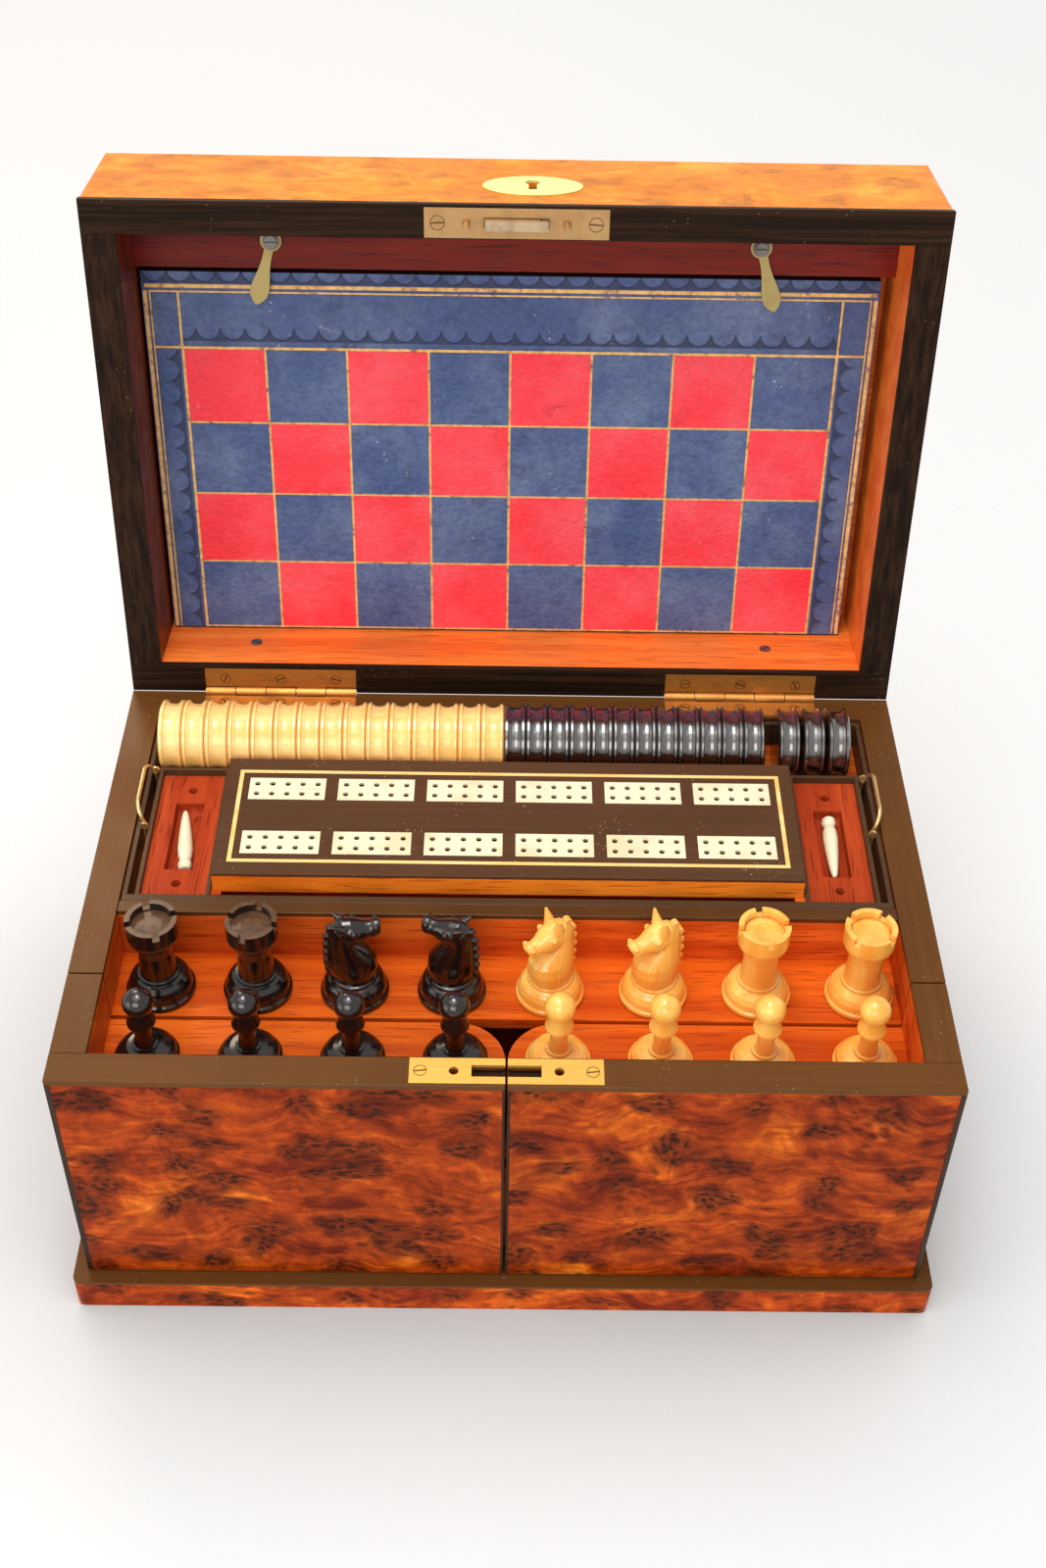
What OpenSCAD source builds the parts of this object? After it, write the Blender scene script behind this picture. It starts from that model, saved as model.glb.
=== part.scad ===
// Games compendium box: a veneered case with a hinged lid, two L-shaped front doors,
// a lift-out tray, chessmen, draughts, a cribbage board and a folding board in the lid.
// X runs to the right, Y to the back and Z up. The origin is under the middle of the
// case, on the surface that it stands on. The lid is drawn open, as it stands in use.

/* [Case] */
// Width of the case over its sides
case_w = 330; // [312:1:350]
// Depth of the case from front to back
case_d = 216; // [212:1:226]
// Height of the case's rim above the table
rim_z = 135.4; // [132:0.2:150]
// Thickness of the case and lid walls
wall = 13.2; // [12:0.1:14]
// Thickness of the ebony rim on top of the walls
rim_t = 2.6; // [2.2:0.1:4]
// Distance from the front face to the joint between doors and fixed sides
door_d = 51.4; // [50:0.2:54]
// Gap between the doors and the fixed sides
seam_gap = 0.8; // [0.5:0.1:1.2]
// Gap between the two doors
meet_gap = 0.9; // [0.5:0.1:1.4]
// Width of the ebony bead at the corners
bead = 2.2; // [1.5:0.1:3]
// Thickness of the ebony strip on each door's meeting edge
strip_t = 1; // [0.6:0.1:2]

/* [Plinth] */
// Height of the plinth
plinth_h = 16.1; // [14:0.1:18]
// How far the plinth stands out from the case
plinth_out = 5.6; // [4:0.1:8]
// Thickness of the ebony ledge on the plinth
ledge_t = 1.4; // [0.8:0.1:2.5]
// Radius of the plinth's upright corners
plinth_r = 3.2; // [1:0.1:6]
// Thickness of the base board inside the plinth
base_t = 9; // [6:0.5:10]
// Gap below the doors
door_clear = 0.7; // [0.4:0.1:1]

/* [Chessman shelves] */
// Height of the lower floor above the plinth's top
floor_t = 5.9; // [4:0.1:8]
// Thickness of the upper shelf
shelf_t = 5; // [3:0.1:7]
// Depth of the upper shelf's top below the rim
shelf_drop = 24.5; // [22:0.1:28]
// Thickness of the partition behind the chessmen
partition_t = 5.8; // [4.5:0.1:7]
// Depth of the fixed shelf
shelf_d = 32.5; // [31:0.1:34]
// Thickness of the partition's ebony cap
cap_t = 2.2; // [1:0.1:4]
// Depth of the partition's top below the rim
cap_drop = 0.8; // [0.6:0.1:3]
// Radius of the round corner of each door's shelf next to the other door
shelf_r = 19; // [12:0.5:30]
// How far each door's shelves stop short of the door's own edge
shelf_back = 1; // [0.4:0.1:2]

/* [Lid] */
// Height of the lid from its rim to its top
lid_h = 59.5; // [56:0.5:70]
// Thickness of the lid's top panel
lid_top_t = 8; // [6:0.5:9]
// Angle at which the lid stands open
lid_open = 98.2; // [91:0.1:110]
// Gap between the lid's rim and the case's rim
lid_gap = 0.3; // [0.2:0.05:0.6]
// Radius of the lid's rounded outer edges
lid_r = 1.6; // [0.8:0.1:3]
// Width of the mahogany batten that holds the board
batten_w = 23.5; // [18:0.5:28]
// Thickness of the batten
batten_t = 20; // [19.6:0.1:21]

/* [Folding board] */
// Thickness of one leaf of the board
leaf_t = 9.2; // [7:0.1:9.3]
// Width of the board's side borders
side_border = 14.6; // [8:0.1:20]
// Space beside the board, both sides together
board_play = 6.6; // [2:0.1:10]
// Gap between the board and the batten
board_gap = 2.3; // [0.3:0.1:2.6]
// How far the board sits to the left of the middle
board_shift = 1.9; // [0:0.1:2.5]
// Depth of a square, from the fold outward
square_d = 32.6; // [30:0.1:34]
// Width of the gold lines between the squares
gold_line = 1; // [0.5:0.1:2]
// Thickness of the leather squares
leather_t = 0.3; // [0.2:0.05:0.6]
// Thickness of the leather spine
spine_t = 0.7; // [0.4:0.1:1]

/* [Hinges] */
// Length of each lid hinge
hinge_len = 65.5; // [50:0.5:70]
// Distance from the case's end to the lid hinge
hinge_inset = 32; // [25:0.5:45]
// Width of a lid hinge's leaf
hinge_leaf_w = 11.6; // [9:0.1:12]
// Thickness of a hinge leaf
hinge_leaf_t = 1.2; // [0.8:0.1:1.6]
// Radius of a lid hinge's knuckle
knuckle_r = 2.4; // [2:0.1:3]
// Radius of a hinge pin
pin_r = 1.1; // [0.8:0.05:1.3]
// Clearance between a pin and its knuckle
pin_clear = 0.06; // [0.02:0.01:0.1]
// Height of a door hinge
door_hinge_h = 22; // [16:0.5:26]
// Width of a door hinge's leaf
door_leaf_w = 9; // [6:0.1:11]
// Distance of the door hinges from the foot and from the rim of the door
door_hinge_in = 12; // [9:0.5:14]

/* [Lock] */
// Length of the lock plate and of the two strike plates together
lock_l = 70; // [60:0.5:80]
// Width of the lock and strike plates
lock_w = 11.6; // [10:0.1:12]
// Thickness of the lock and strike plates
plate_t = 1.4; // [1:0.1:2]
// Distance from the front face to the middle of the plates
lock_in = 7; // [6.6:0.1:7.2]
// Length of the slot in the strike plates
slot_l = 25.2; // [22:0.1:28]
// Width of the slot in the strike plates
slot_w = 5.2; // [4.6:0.1:6]
// Distance between the two lock pegs
peg_pitch = 38; // [34:0.5:44]
// Radius of a lock peg
lock_peg_r = 1.2; // [0.9:0.05:1.3]
// How far the pegs reach into the doors
peg_reach = 7.7; // [4:0.1:8]
// How far the lock's bolt slides
bolt_throw = 3.2; // [2.5:0.1:4]
// Half width of the oval escutcheon
oval_x = 19.4; // [15:0.1:24]
// Half height of the oval escutcheon
oval_z = 11.5; // [10:0.1:14]
// Distance of the escutcheon's middle from the middle of the lid
oval_off = 6; // [0:0.1:8]
// Height of the escutcheon's middle above the lid's rim
oval_up = 23; // [20:0.1:27]
// Radius of the keyhole's round part
keyhole_r = 2.9; // [1.6:0.1:3.2]
// Width of the keyhole's slot
keyhole_w = 3.2; // [1.4:0.1:3.6]

/* [Turn-buttons] */
// Distance of each turn-button from the lid's side
button_side = 68; // [55:0.5:80]
// Length from the button's screw to its tip
button_l = 27; // [22:0.5:32]
// Radius of the button's round end
button_r = 4.2; // [3.6:0.1:5]
// Width of the button's neck
neck_w = 3.6; // [2.8:0.1:4.4]
// Width of the button's paddle
paddle_w = 7.6; // [6:0.1:8.4]
// Thickness of a turn-button
button_t = 1.3; // [0.8:0.1:1.5]
// Angle at which the tips turn outward
button_turn = 15.5; // [0:0.5:30]
// Distance of the button's screw from the batten's free edge
button_in = 11.5; // [8:0.1:13]

/* [Tray] */
// Depth of the tray's top below the rim
tray_drop = 1.4; // [1:0.1:3]
// Height of the tray's walls above its floor
tray_wall_h = 12.1; // [11:0.1:13]
// Thickness of the tray's floor
tray_floor_t = 2; // [1.5:0.1:3]
// Clearance round the tray
tray_clear = 0.5; // [0.4:0.05:0.8]
// Thickness of the tray's end and back walls
tray_wall_t = 1.8; // [1.4:0.1:2.4]
// Thickness of the tray's front wall
tray_front_t = 3.7; // [2.4:0.1:4.2]
// Width of the slot at each end of the tray
slot_gap = 3; // [2.8:0.1:3.2]
// Thickness of the tray's dividers
divider_t = 1.6; // [1.2:0.1:2]
// Width of each mahogany peg block
block_w = 26; // [22:0.5:30]
// Depth of the peg block's top below the tray's top
block_drop = 3.4; // [3:0.1:4]
// Height of the bearers below the tray
bearer_h = 6; // [4:0.5:8]
// Width of the bearers below the tray
bearer_w = 6; // [4:0.5:8]

/* [Draughts] */
// Radius of a draughtsman
draught_r = 15.3; // [14.5:0.1:15.8]
// Play across the draughts in their trough
trough_play = 1.8; // [1:0.1:2.5]
// Play along the row of draughts
row_play = 9.6; // [9:0.1:12]
// Thickness of a dark draughtsman as a share of a light one's
dark_share = 0.946; // [0.94:0.001:0.97]
// Gap before the last three draughts
first_gap = 5.8; // [3:0.1:7]
// Gap between the last three draughts
loose_gap = 1.3; // [0.5:0.1:2]

/* [Pegs and handles] */
// Length of a bone peg
peg_l = 34; // [30:0.5:36]
// Radius of a bone peg at its belly
peg_r = 3.1; // [2.4:0.1:3.3]
// Length of the recess for a peg
recess_l = 38.4; // [37.5:0.1:42]
// Width of the recess for a peg
recess_w = 11.6; // [8:0.1:14]
// Depth of the recess for a peg
recess_deep = 5.6; // [4:0.1:6]
// Radius of the rounded corners at the ends of the recess
scoop_r = 3; // [1:0.1:3.2]
// Radius of the drilled holes in a peg block
drill_r = 1.9; // [1.4:0.1:2.4]
// Distance between the two drilled holes
drill_pitch = 54; // [50:0.5:58]
// Depth of the drilled holes
drill_deep = 6; // [3:0.1:7]
// Span of a wire handle
bail_w = 30; // [26:0.5:34]
// Height of a wire handle
bail_h = 8; // [7:0.1:9]
// Radius of a handle's wire
wire_r = 0.8; // [0.7:0.05:0.9]
// Angle at which a handle leans outward
bail_lean = 20; // [5:1:22]

/* [Cribbage board] */
// Thickness of the cribbage board
crib_t = 9.8; // [8:0.1:11]
// Thickness of its ebony top and bone plates
crib_top_t = 1.2; // [0.8:0.1:2]
// Height of the strips that it rests on
crib_bearer_h = 9.9; // [8:0.1:11]
// Clearance at its ends and its back edge
crib_play = 0.9; // [0.5:0.1:1.5]
// Gap in front of it
crib_front_gap = 3.9; // [2:0.1:5]
// Width of a bone plate
bone_w = 31.2; // [26:0.1:34]
// Depth of a bone plate
bone_d = 12.8; // [10:0.1:15]
// Distance between the two rows of plates
bone_rows = 31.2; // [26:0.1:34]
// Distance from one plate to the next
bone_pitch = 36.4; // [35:0.1:37]
// Radius of a peg hole
hole_r = 1.15; // [0.7:0.05:1.3]
// Width of the boxwood line
line_w = 1.7; // [0.6:0.1:2]

/* [Chessmen] */
// Height of a rook
rook_h = 39.2; // [36:0.1:41]
// Height of a pawn
pawn_h = 37; // [33:0.1:39]
// Height of a king
king_h = 66; // [60:0.5:72]
// Radius of the foot of the rooks, knights and taller men
foot_r = 13.3; // [12:0.1:13.5]
// Radius of a pawn's foot
pawn_foot_r = 12.2; // [11:0.1:12.6]

/* [Hidden] */
$fn = 48;
eps = 0.01;
x_out = case_w / 2;
x_in = x_out - wall;
y_front = -case_d / 2;
y_back = case_d / 2;
y_in_front = y_front + wall;
y_in_back = y_back - wall;
seam_y = y_front + door_d;
y_fixed = seam_y + seam_gap / 2;
y_door = seam_y - seam_gap / 2;
y_shelf = y_door - shelf_back;
x_meet = meet_gap / 2;
under_rim = rim_z - rim_t;
floor_z = plinth_h + floor_t;
door_z0 = plinth_h + door_clear;
shelf_z = rim_z - shelf_drop;
y_part = y_fixed + shelf_d;
y_part_back = y_part + partition_t;
part_z = rim_z - cap_drop;

// lid, drawn closed and then turned open about its hinge line
lid_z0 = rim_z + lid_gap;
lid_z1 = rim_z + lid_h;
lid_in_z = lid_z1 - lid_top_t;
batten_z = lid_in_z - batten_t;
batten_y = y_in_front + batten_w;
board_z = lid_in_z - 2 * leaf_t - 0.2;
board_w = 2 * x_in - board_play;
square = (board_w - 2 * side_border) / 8;
board_y0 = batten_y + board_gap;
board_y1 = y_in_back - spine_t - 0.1;
squares_y1 = board_y1 - gold_line / 2;

// hinges and lock
hinge_x = x_out - hinge_inset - hinge_len / 2;
knuckles = 5;
hinge_screw_r = 2.3;
hinge_screw_pitch = 24;
knuckle_gap = 0.2;
notch_clear = 0.3;
door_knuckle_r = pin_r + 1.1;
door_leaf_t = hinge_leaf_t - 0.2;
door_hinge_z = [door_z0 + door_hinge_in, under_rim - door_hinge_in - door_hinge_h];
lock_y = y_front + lock_in;
lock_case_h = 33;
lock_case_t = 9;
lock_case_l = lock_l - 6;
bolt_l = slot_l - 1.2;
bolt_t = slot_w - 1.4;
foot_t = 1.6;
bolt_under = plate_t + 0.25;
mortise_deep = bolt_under + foot_t + 0.7;
keyhole_over = 4;
keyhole_up = oval_up + keyhole_over;
keyhole_down = 8.5;
peg_clear = 0.6;
lock_screw_r = 2.9;
lock_screw_in = 5;
strike_screw_r = 2.5;
strike_screw_in = 3.9;

// screws of the turn-buttons and of the lid's wall beside the hinges
button_x = x_out - button_side;
button_screw_r = 1.2;
button_screw_l = 7;
washer_r = 3.3;
washer_t = 0.5;
head_r = 2.5;
head_t = 0.9;
wall_screw_x = hinge_x + 12.35;
wall_screw_up = 20.3;
screw_slot = 0.65;
ring_w = 0.35;
ring_deep = 0.3;

// tray
tray_x = x_in - tray_clear;
tray_y0 = y_part_back + tray_clear;
tray_y1 = y_in_back - tray_clear;
tray_top = rim_z - tray_drop;
tray_floor = tray_top - tray_wall_h;
tray_bottom = tray_floor - tray_floor_t;
trough_w = 2 * draught_r + trough_play;
trough_y0 = tray_y1 - tray_wall_t - trough_w;
bay_y0 = tray_y0 + tray_front_t;
bay_y1 = trough_y0 - divider_t;
slot_x1 = tray_x - tray_wall_t;
slot_x0 = slot_x1 - slot_gap;
block_x1 = slot_x0 - divider_t;
block_x0 = block_x1 - block_w;
bay_x = block_x0 - divider_t;
block_z = tray_top - block_drop;
block_xm = (block_x0 + block_x1) / 2;
block_ym = (bay_y0 + bay_y1) / 2;

// draughts
per_side = 15;
trough_l = 2 * slot_x1;
light_t = (trough_l - row_play) / (2 * per_side);
dark_t = dark_share * light_t;
draught_skin = 0.03;
bead_at = 0.86;
draught_y = trough_y0 + trough_w / 2;
draught_z = tray_floor + draught_r;
row_x0 = -slot_x1 + 2.2;
row_x1 = row_x0 + per_side * light_t;
loose = 3;

// how far each bone peg lies askew
left_peg_turn = 7;
right_peg_turn = -2;

// wire handles
bail_x = (slot_x0 + slot_x1) / 2;
bail_z = tray_top + 1.2;
bail_room = 3.4;
bail_y = bay_y1 - bail_w / 2 - bail_room;
bail_bend = bail_h - wire_r - 0.4;
eye_r = wire_r + 0.9;
eye_t = 1.2;
eye_clear = 0.08;

// cribbage board
crib_z = tray_floor + crib_bearer_h;
crib_x = bay_x - crib_play;
crib_y0 = bay_y0 + crib_front_gap;
crib_y1 = bay_y1 - crib_play;
crib_ym = (crib_y0 + crib_y1) / 2;
crib_bearer_w = 4;
plates = 6;
// room between the outer plates and the outside of the line, at the ends and along them
line_room = [4.6, 4.8];
line_x = (plates - 1) / 2 * bone_pitch + bone_w / 2 + line_room[0];
line_y = bone_rows / 2 + bone_d / 2 + line_room[1];
hole_deep = 4;

// chessmen stand in two groups of four, with a little more room on the right
men_forward = 2.15;
men_y = (y_fixed + y_part) / 2 - men_forward;
men_end = 17.4;
men_pitch = (x_in - men_end - 21.6) / 3;
white_end = 14.9;
white_pitch = (x_in - white_end - 16.5) / 3;
pawn_in = 7.4;
pawn_y = y_door - pawn_foot_r - pawn_in;
pawn_end = 16.9;
pawn_pitch = (x_in - pawn_end - 19.3) / 3;
function black_x(i) = -(x_in - men_end) + i * men_pitch;
function white_x(i) = x_in - white_end - (3 - i) * white_pitch;
function pawn_x(i) = x_in - pawn_end - i * pawn_pitch;

// rings of a horse's neck and head, from the collar up to the poll and out to the muzzle:
// [x, z, tilt of the ring, half length, half breadth, share of the head's nod]
horse = [[-0.2, 0, 0, 7.8, 7.4, 0], [-0.1, 2.2, 0, 8.6, 7.8, 0], [-0.2, 5.5, 0, 9.1, 7.7, 0],
    [-0.5, 9.5, 2, 8.9, 7, 0], [-1.4, 13, 8, 7.9, 6, 0.1], [-2.5, 16.3, 16, 6.8, 5.3, 0.2],
    [-3.1, 19.2, 30, 6.2, 4.9, 0.4], [-2.8, 21.5, 52, 5.9, 4.8, 0.8],
    [-1.6, 22.6, 75, 5.5, 4.9, 1], [0.6, 22.4, 88, 5.2, 5, 1], [2.8, 22.2, 92, 4.6, 4.6, 1],
    [5, 22.2, 94, 3.6, 3.6, 1], [6.8, 22.4, 94, 3.2, 3.2, 1], [8.4, 22.6, 96, 3.5, 3.5, 1],
    [9.8, 22.7, 98, 3.3, 3.3, 1], [10.6, 22.8, 98, 2.5, 2.5, 1]];
cup_deep = 3.4;
ring_n = 20;
pivot_x = -4;
pivot_z = 20;
knight_h = rook_h + 1.2;
knight_drawn = 38.4;

ebony = [0.16, 0.11, 0.08];
mahogany = [0.62, 0.22, 0.1];
burr = [0.72, 0.3, 0.1];
boxwood = [0.93, 0.74, 0.4];
black_wood = [0.1, 0.08, 0.07];
brass = [0.85, 0.65, 0.3];
steel = [0.6, 0.6, 0.6];
bone = [0.96, 0.9, 0.74];

// ---- shared shapes ----

// a box between two corners
module span(a, b) {
    translate(a) cube(b - a);
}

// a rectangle with round corners, centred
module round_rect(w, d, r) {
    square([w - 2 * r, d], center = true);
    square([w, d - 2 * r], center = true);
    for (x = [-1, 1], y = [-1, 1]) translate([x * (w / 2 - r), y * (d / 2 - r)]) circle(r);
}

// a round bar along X from x0 to x1
module bar_x(x0, x1, r) {
    translate([x0, 0, 0]) rotate([0, 90, 0]) cylinder(r = r, h = x1 - x0);
}

// a round bar along Y from y0 to y1
module bar_y(y0, y1, r) {
    translate([0, y0, 0]) rotate([-90, 0, 0]) cylinder(r = r, h = y1 - y0);
}

// the ring and the slot that a sunk screw shows, cut downward from z = 0
module screw_cut(r, turn = 0) {
    translate([0, 0, -ring_deep]) difference() {
        cylinder(r = r, h = 1);
        translate([0, 0, -1]) cylinder(r = r - ring_w, h = 3);
    }
    rotate([0, 0, turn]) translate([-r + ring_w / 2, -screw_slot / 2, -2 * ring_deep])
        cube([2 * r - ring_w, screw_slot, 1]);
}

// the pair of pieces on the left and on the right
module both() {
    children();
    mirror([1, 0, 0]) children();
}

// turns the closed lid to where it stands open
module opened() {
    translate([0, y_back, rim_z]) rotate([-lid_open, 0, 0]) translate([0, -y_back, -rim_z])
        children();
}

// ---- case ----

module base_board() {
    color(mahogany) span([-x_in, y_in_front, 0], [x_in, y_in_back, base_t]);
}

module carcase_bottom() {
    color(mahogany) {
        span([-x_in, y_in_front, base_t], [x_in, y_in_back, plinth_h]);
        span([-x_in, y_fixed, plinth_h - eps], [x_in, y_in_back, floor_z]);
    }
}

// a ring round the foot of the case, as wide as the plinth
module plinth_ring(z0, z1, r) {
    translate([0, 0, z0]) linear_extrude(z1 - z0) difference() {
        round_rect(case_w + 2 * plinth_out, case_d + 2 * plinth_out, r);
        square([2 * x_in, case_d - 2 * wall], center = true);
    }
}

module plinth() {
    color(burr) plinth_ring(0, plinth_h - ledge_t, plinth_r);
}

module plinth_ledge() {
    color(ebony) plinth_ring(plinth_h - ledge_t, plinth_h, plinth_r);
}

// room for a lid hinge's leaf and knuckles in the case's back rim
module lid_hinge_seat() {
    both() {
        span([hinge_x - hinge_len / 2, y_back - hinge_leaf_w, rim_z - hinge_leaf_t],
            [hinge_x + hinge_len / 2, y_back + 1, rim_z + 1]);
        translate([0, y_back, rim_z]) bar_x(hinge_x - hinge_len / 2 - knuckle_gap,
            hinge_x + hinge_len / 2 + knuckle_gap, knuckle_r + notch_clear);
    }
}

// room for the right door's hinges, in the fixed side (dir = 1) or in the door (dir = -1)
module door_hinge_seat(dir) {
    y0 = seam_y + dir * seam_gap / 2;
    for (z = door_hinge_z) {
        translate([x_out - door_leaf_w, min(y0, y0 + dir * door_leaf_t), z])
            cube([door_leaf_w + 1, door_leaf_t, door_hinge_h]);
        translate([x_out, seam_y, z - knuckle_gap])
            cylinder(r = door_knuckle_r + notch_clear, h = door_hinge_h + 2 * knuckle_gap);
    }
}

module back_wall() {
    color(burr) difference() {
        span([-x_out, y_in_back, plinth_h], [x_out, y_back, under_rim]);
        both() span([x_out - bead, y_back - bead, 0], [x_out + 1, y_back + 1, rim_z]);
        lid_hinge_seat();
    }
}

module side_walls() {
    color(burr) both() difference() {
        span([x_in, y_fixed, plinth_h], [x_out, y_in_back, under_rim]);
        door_hinge_seat(1);
    }
}

// side rails butt against the back rail
module case_rim() {
    color(ebony) difference() {
        union() {
            span([-x_out, y_in_back, under_rim], [x_out, y_back, rim_z]);
            both() span([x_in, y_fixed, under_rim], [x_out, y_in_back - 0.1, rim_z]);
        }
        lid_hinge_seat();
        both() door_hinge_seat(1);
    }
}

// beads at the two back corners and the cap on the partition
module ebony_trim() {
    color(ebony) {
        both() span([x_out - bead, y_back - bead, plinth_h], [x_out, y_back, under_rim]);
        span([-x_in, y_part, part_z - cap_t], [x_in, y_part_back, part_z]);
    }
}

module partition() {
    color(mahogany) span([-x_in, y_part, floor_z], [x_in, y_part_back, part_z - cap_t]);
}

module upper_shelf() {
    color(mahogany) span([-x_in, y_fixed, shelf_z - shelf_t], [x_in, y_part, shelf_z]);
}

// strips on both sides and on the back that the tray rests on
module tray_bearers() {
    color(mahogany) {
        both() span([x_in - bearer_w, y_part_back, tray_bottom - bearer_h],
            [x_in, y_in_back, tray_bottom]);
        span([-x_in + bearer_w, y_in_back - bearer_w, tray_bottom - bearer_h],
            [x_in - bearer_w, y_in_back, tray_bottom]);
    }
}

// ---- hinges ----

// spans of the knuckles along a lid hinge, the even or the odd ones
module knuckle_row(first, grow, r) {
    step = hinge_len / knuckles;
    for (i = [first:2:knuckles - 1])
        bar_x(hinge_x - hinge_len / 2 + i * step - grow,
            hinge_x - hinge_len / 2 + (i + 1) * step + grow, r);
}

// one half of a lid hinge; z0 is the underside of its leaf
module lid_hinge_half(first, z0) {
    difference() {
        union() {
            span([hinge_x - hinge_len / 2, y_back - hinge_leaf_w, z0],
                [hinge_x + hinge_len / 2, y_back, z0 + hinge_leaf_t]);
            translate([0, y_back, rim_z]) knuckle_row(first, 0, knuckle_r);
        }
        translate([0, y_back, rim_z])
            knuckle_row(1 - first, knuckle_gap, knuckle_r + notch_clear);
    }
}

// places of the three screws on a leaf
module hinge_screws() {
    for (i = [-1:1])
        translate([hinge_x + i * hinge_screw_pitch, y_back - hinge_leaf_w / 2 - 0.8, 0])
            screw_cut(hinge_screw_r, 20 + 40 * i);
}

// fixed half of a door hinge, with its pin
module door_hinge_fixed() {
    for (z = door_hinge_z) {
        difference() {
            union() {
                span([x_out - door_leaf_w, y_fixed, z],
                    [x_out, y_fixed + door_leaf_t, z + door_hinge_h]);
                translate([x_out, seam_y, z]) cylinder(r = door_knuckle_r, h = door_hinge_h);
            }
            translate([x_out, seam_y, z + door_hinge_h / 3 - knuckle_gap])
                cylinder(r = door_knuckle_r + notch_clear,
                    h = door_hinge_h / 3 + 2 * knuckle_gap);
        }
        translate([x_out, seam_y, z + 1]) cylinder(r = pin_r, h = door_hinge_h - 2);
    }
}

// moving half of a door hinge, bored for the pin
module door_hinge_moving() {
    for (z = door_hinge_z) difference() {
        union() {
            span([x_out - door_leaf_w, y_door - door_leaf_t, z],
                [x_out, y_door, z + door_hinge_h]);
            translate([x_out, seam_y, z + door_hinge_h / 3])
                cylinder(r = door_knuckle_r, h = door_hinge_h / 3);
        }
        for (k = [-1, 1]) translate([x_out, seam_y, z + door_hinge_h / 2])
            translate([0, 0, k * door_hinge_h / 3])
                cylinder(r = door_knuckle_r + notch_clear,
                    h = door_hinge_h / 3 + knuckle_gap * 2, center = true);
        translate([x_out, seam_y, z - 1]) cylinder(r = pin_r + pin_clear, h = door_hinge_h + 2);
    }
}

module case_hinges() {
    color(brass) both() {
        difference() {
            lid_hinge_half(0, rim_z - hinge_leaf_t);
            translate([0, 0, rim_z]) hinge_screws();
        }
        translate([0, y_back, rim_z])
            bar_x(hinge_x - hinge_len / 2 + 1, hinge_x + hinge_len / 2 - 1, pin_r);
        door_hinge_fixed();
    }
}

module lid_hinges() {
    color(brass) opened() both() difference() {
        lid_hinge_half(1, lid_z0);
        translate([0, y_back, rim_z])
            bar_x(hinge_x - hinge_len / 2 - 1, hinge_x + hinge_len / 2 + 1, pin_r + pin_clear);
        translate([0, 0, lid_z0]) mirror([0, 0, 1]) hinge_screws();
    }
}

module right_door_hinges() {
    color(brass) door_hinge_moving();
}

module left_door_hinges() {
    color(brass) mirror([1, 0, 0]) door_hinge_moving();
}

// ---- doors: drawn as the right one and mirrored for the left ----

// holes for the lock's pegs and room for its bolt, cut down from the rim
module lock_mortise() {
    span([-slot_l / 2 - 0.4, lock_y - slot_w / 2, rim_z - mortise_deep],
        [slot_l / 2 + bolt_throw, lock_y + slot_w / 2, rim_z + 1]);
    for (x = [-1, 1]) translate([x * peg_pitch / 2, lock_y, rim_z - peg_reach - peg_clear])
        cylinder(r = lock_peg_r + peg_clear, h = peg_reach + 2);
}

// a seat for the strike plates
module strike_seat() {
    span([-lock_l / 2, lock_y - lock_w / 2, rim_z - plate_t],
        [lock_l / 2, lock_y + lock_w / 2, rim_z + 1]);
}

module door_carcase() {
    difference() {
        union() {
            span([x_meet, y_front, door_z0], [x_out, y_in_front, under_rim]);
            span([x_in, y_in_front - eps, door_z0], [x_out, y_door, under_rim]);
        }
        span([x_out - bead, y_front - 1, 0], [x_out + 1, y_front + bead, rim_z]);
        span([0, y_front - 1, 0], [x_meet + strip_t, y_in_front + 1, rim_z]);
        door_hinge_seat(-1);
    }
}

module door_rim() {
    difference() {
        union() {
            span([x_meet, y_front, under_rim], [x_out, y_in_front, rim_z]);
            span([x_in, y_in_front + 0.1, under_rim], [x_out, y_door, rim_z]);
        }
        door_hinge_seat(-1);
    }
}

// corner bead and meeting strip
module door_edging() {
    span([x_out - bead, y_front, door_z0], [x_out, y_front + bead, under_rim]);
    span([x_meet, y_front, door_z0], [x_meet + strip_t, y_in_front, under_rim]);
}

// outline of a door's shelf, round at the corner next to the other door
module door_shelf_plan() {
    difference() {
        translate([x_meet, y_in_front]) square([x_in - x_meet, y_shelf - y_in_front]);
        translate([x_meet, y_shelf - shelf_r]) difference() {
            translate([-1, 0]) square([shelf_r + 1, shelf_r + 1]);
            translate([shelf_r, 0]) circle(shelf_r, $fn = 96);
        }
    }
}

module door_shelves() {
    translate([0, 0, shelf_z - shelf_t]) linear_extrude(shelf_t) door_shelf_plan();
    translate([0, 0, door_z0]) linear_extrude(floor_z - door_z0) door_shelf_plan();
}

// half of the strike: two plates share one slot
module strike_plate(side) {
    difference() {
        intersection() {
            strike_seat();
            span([x_meet, y_front, 0], [x_out, y_in_front, rim_z]);
        }
        span([-1, lock_y - slot_w / 2, 0], [slot_l / 2, lock_y + slot_w / 2, rim_z + 1]);
        translate([peg_pitch / 2, lock_y, 0])
            cylinder(r = lock_peg_r + peg_clear, h = rim_z + 1);
        translate([lock_l / 2 - strike_screw_in, lock_y, rim_z])
            screw_cut(strike_screw_r, side * 6);
    }
}

module right_door() {
    color(burr) difference() {
        door_carcase();
        lock_mortise();
    }
}

module left_door() {
    color(burr) difference() {
        mirror([1, 0, 0]) door_carcase();
        lock_mortise();
    }
}

module right_door_rim() {
    color(ebony) difference() {
        door_rim();
        lock_mortise();
        strike_seat();
    }
}

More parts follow.
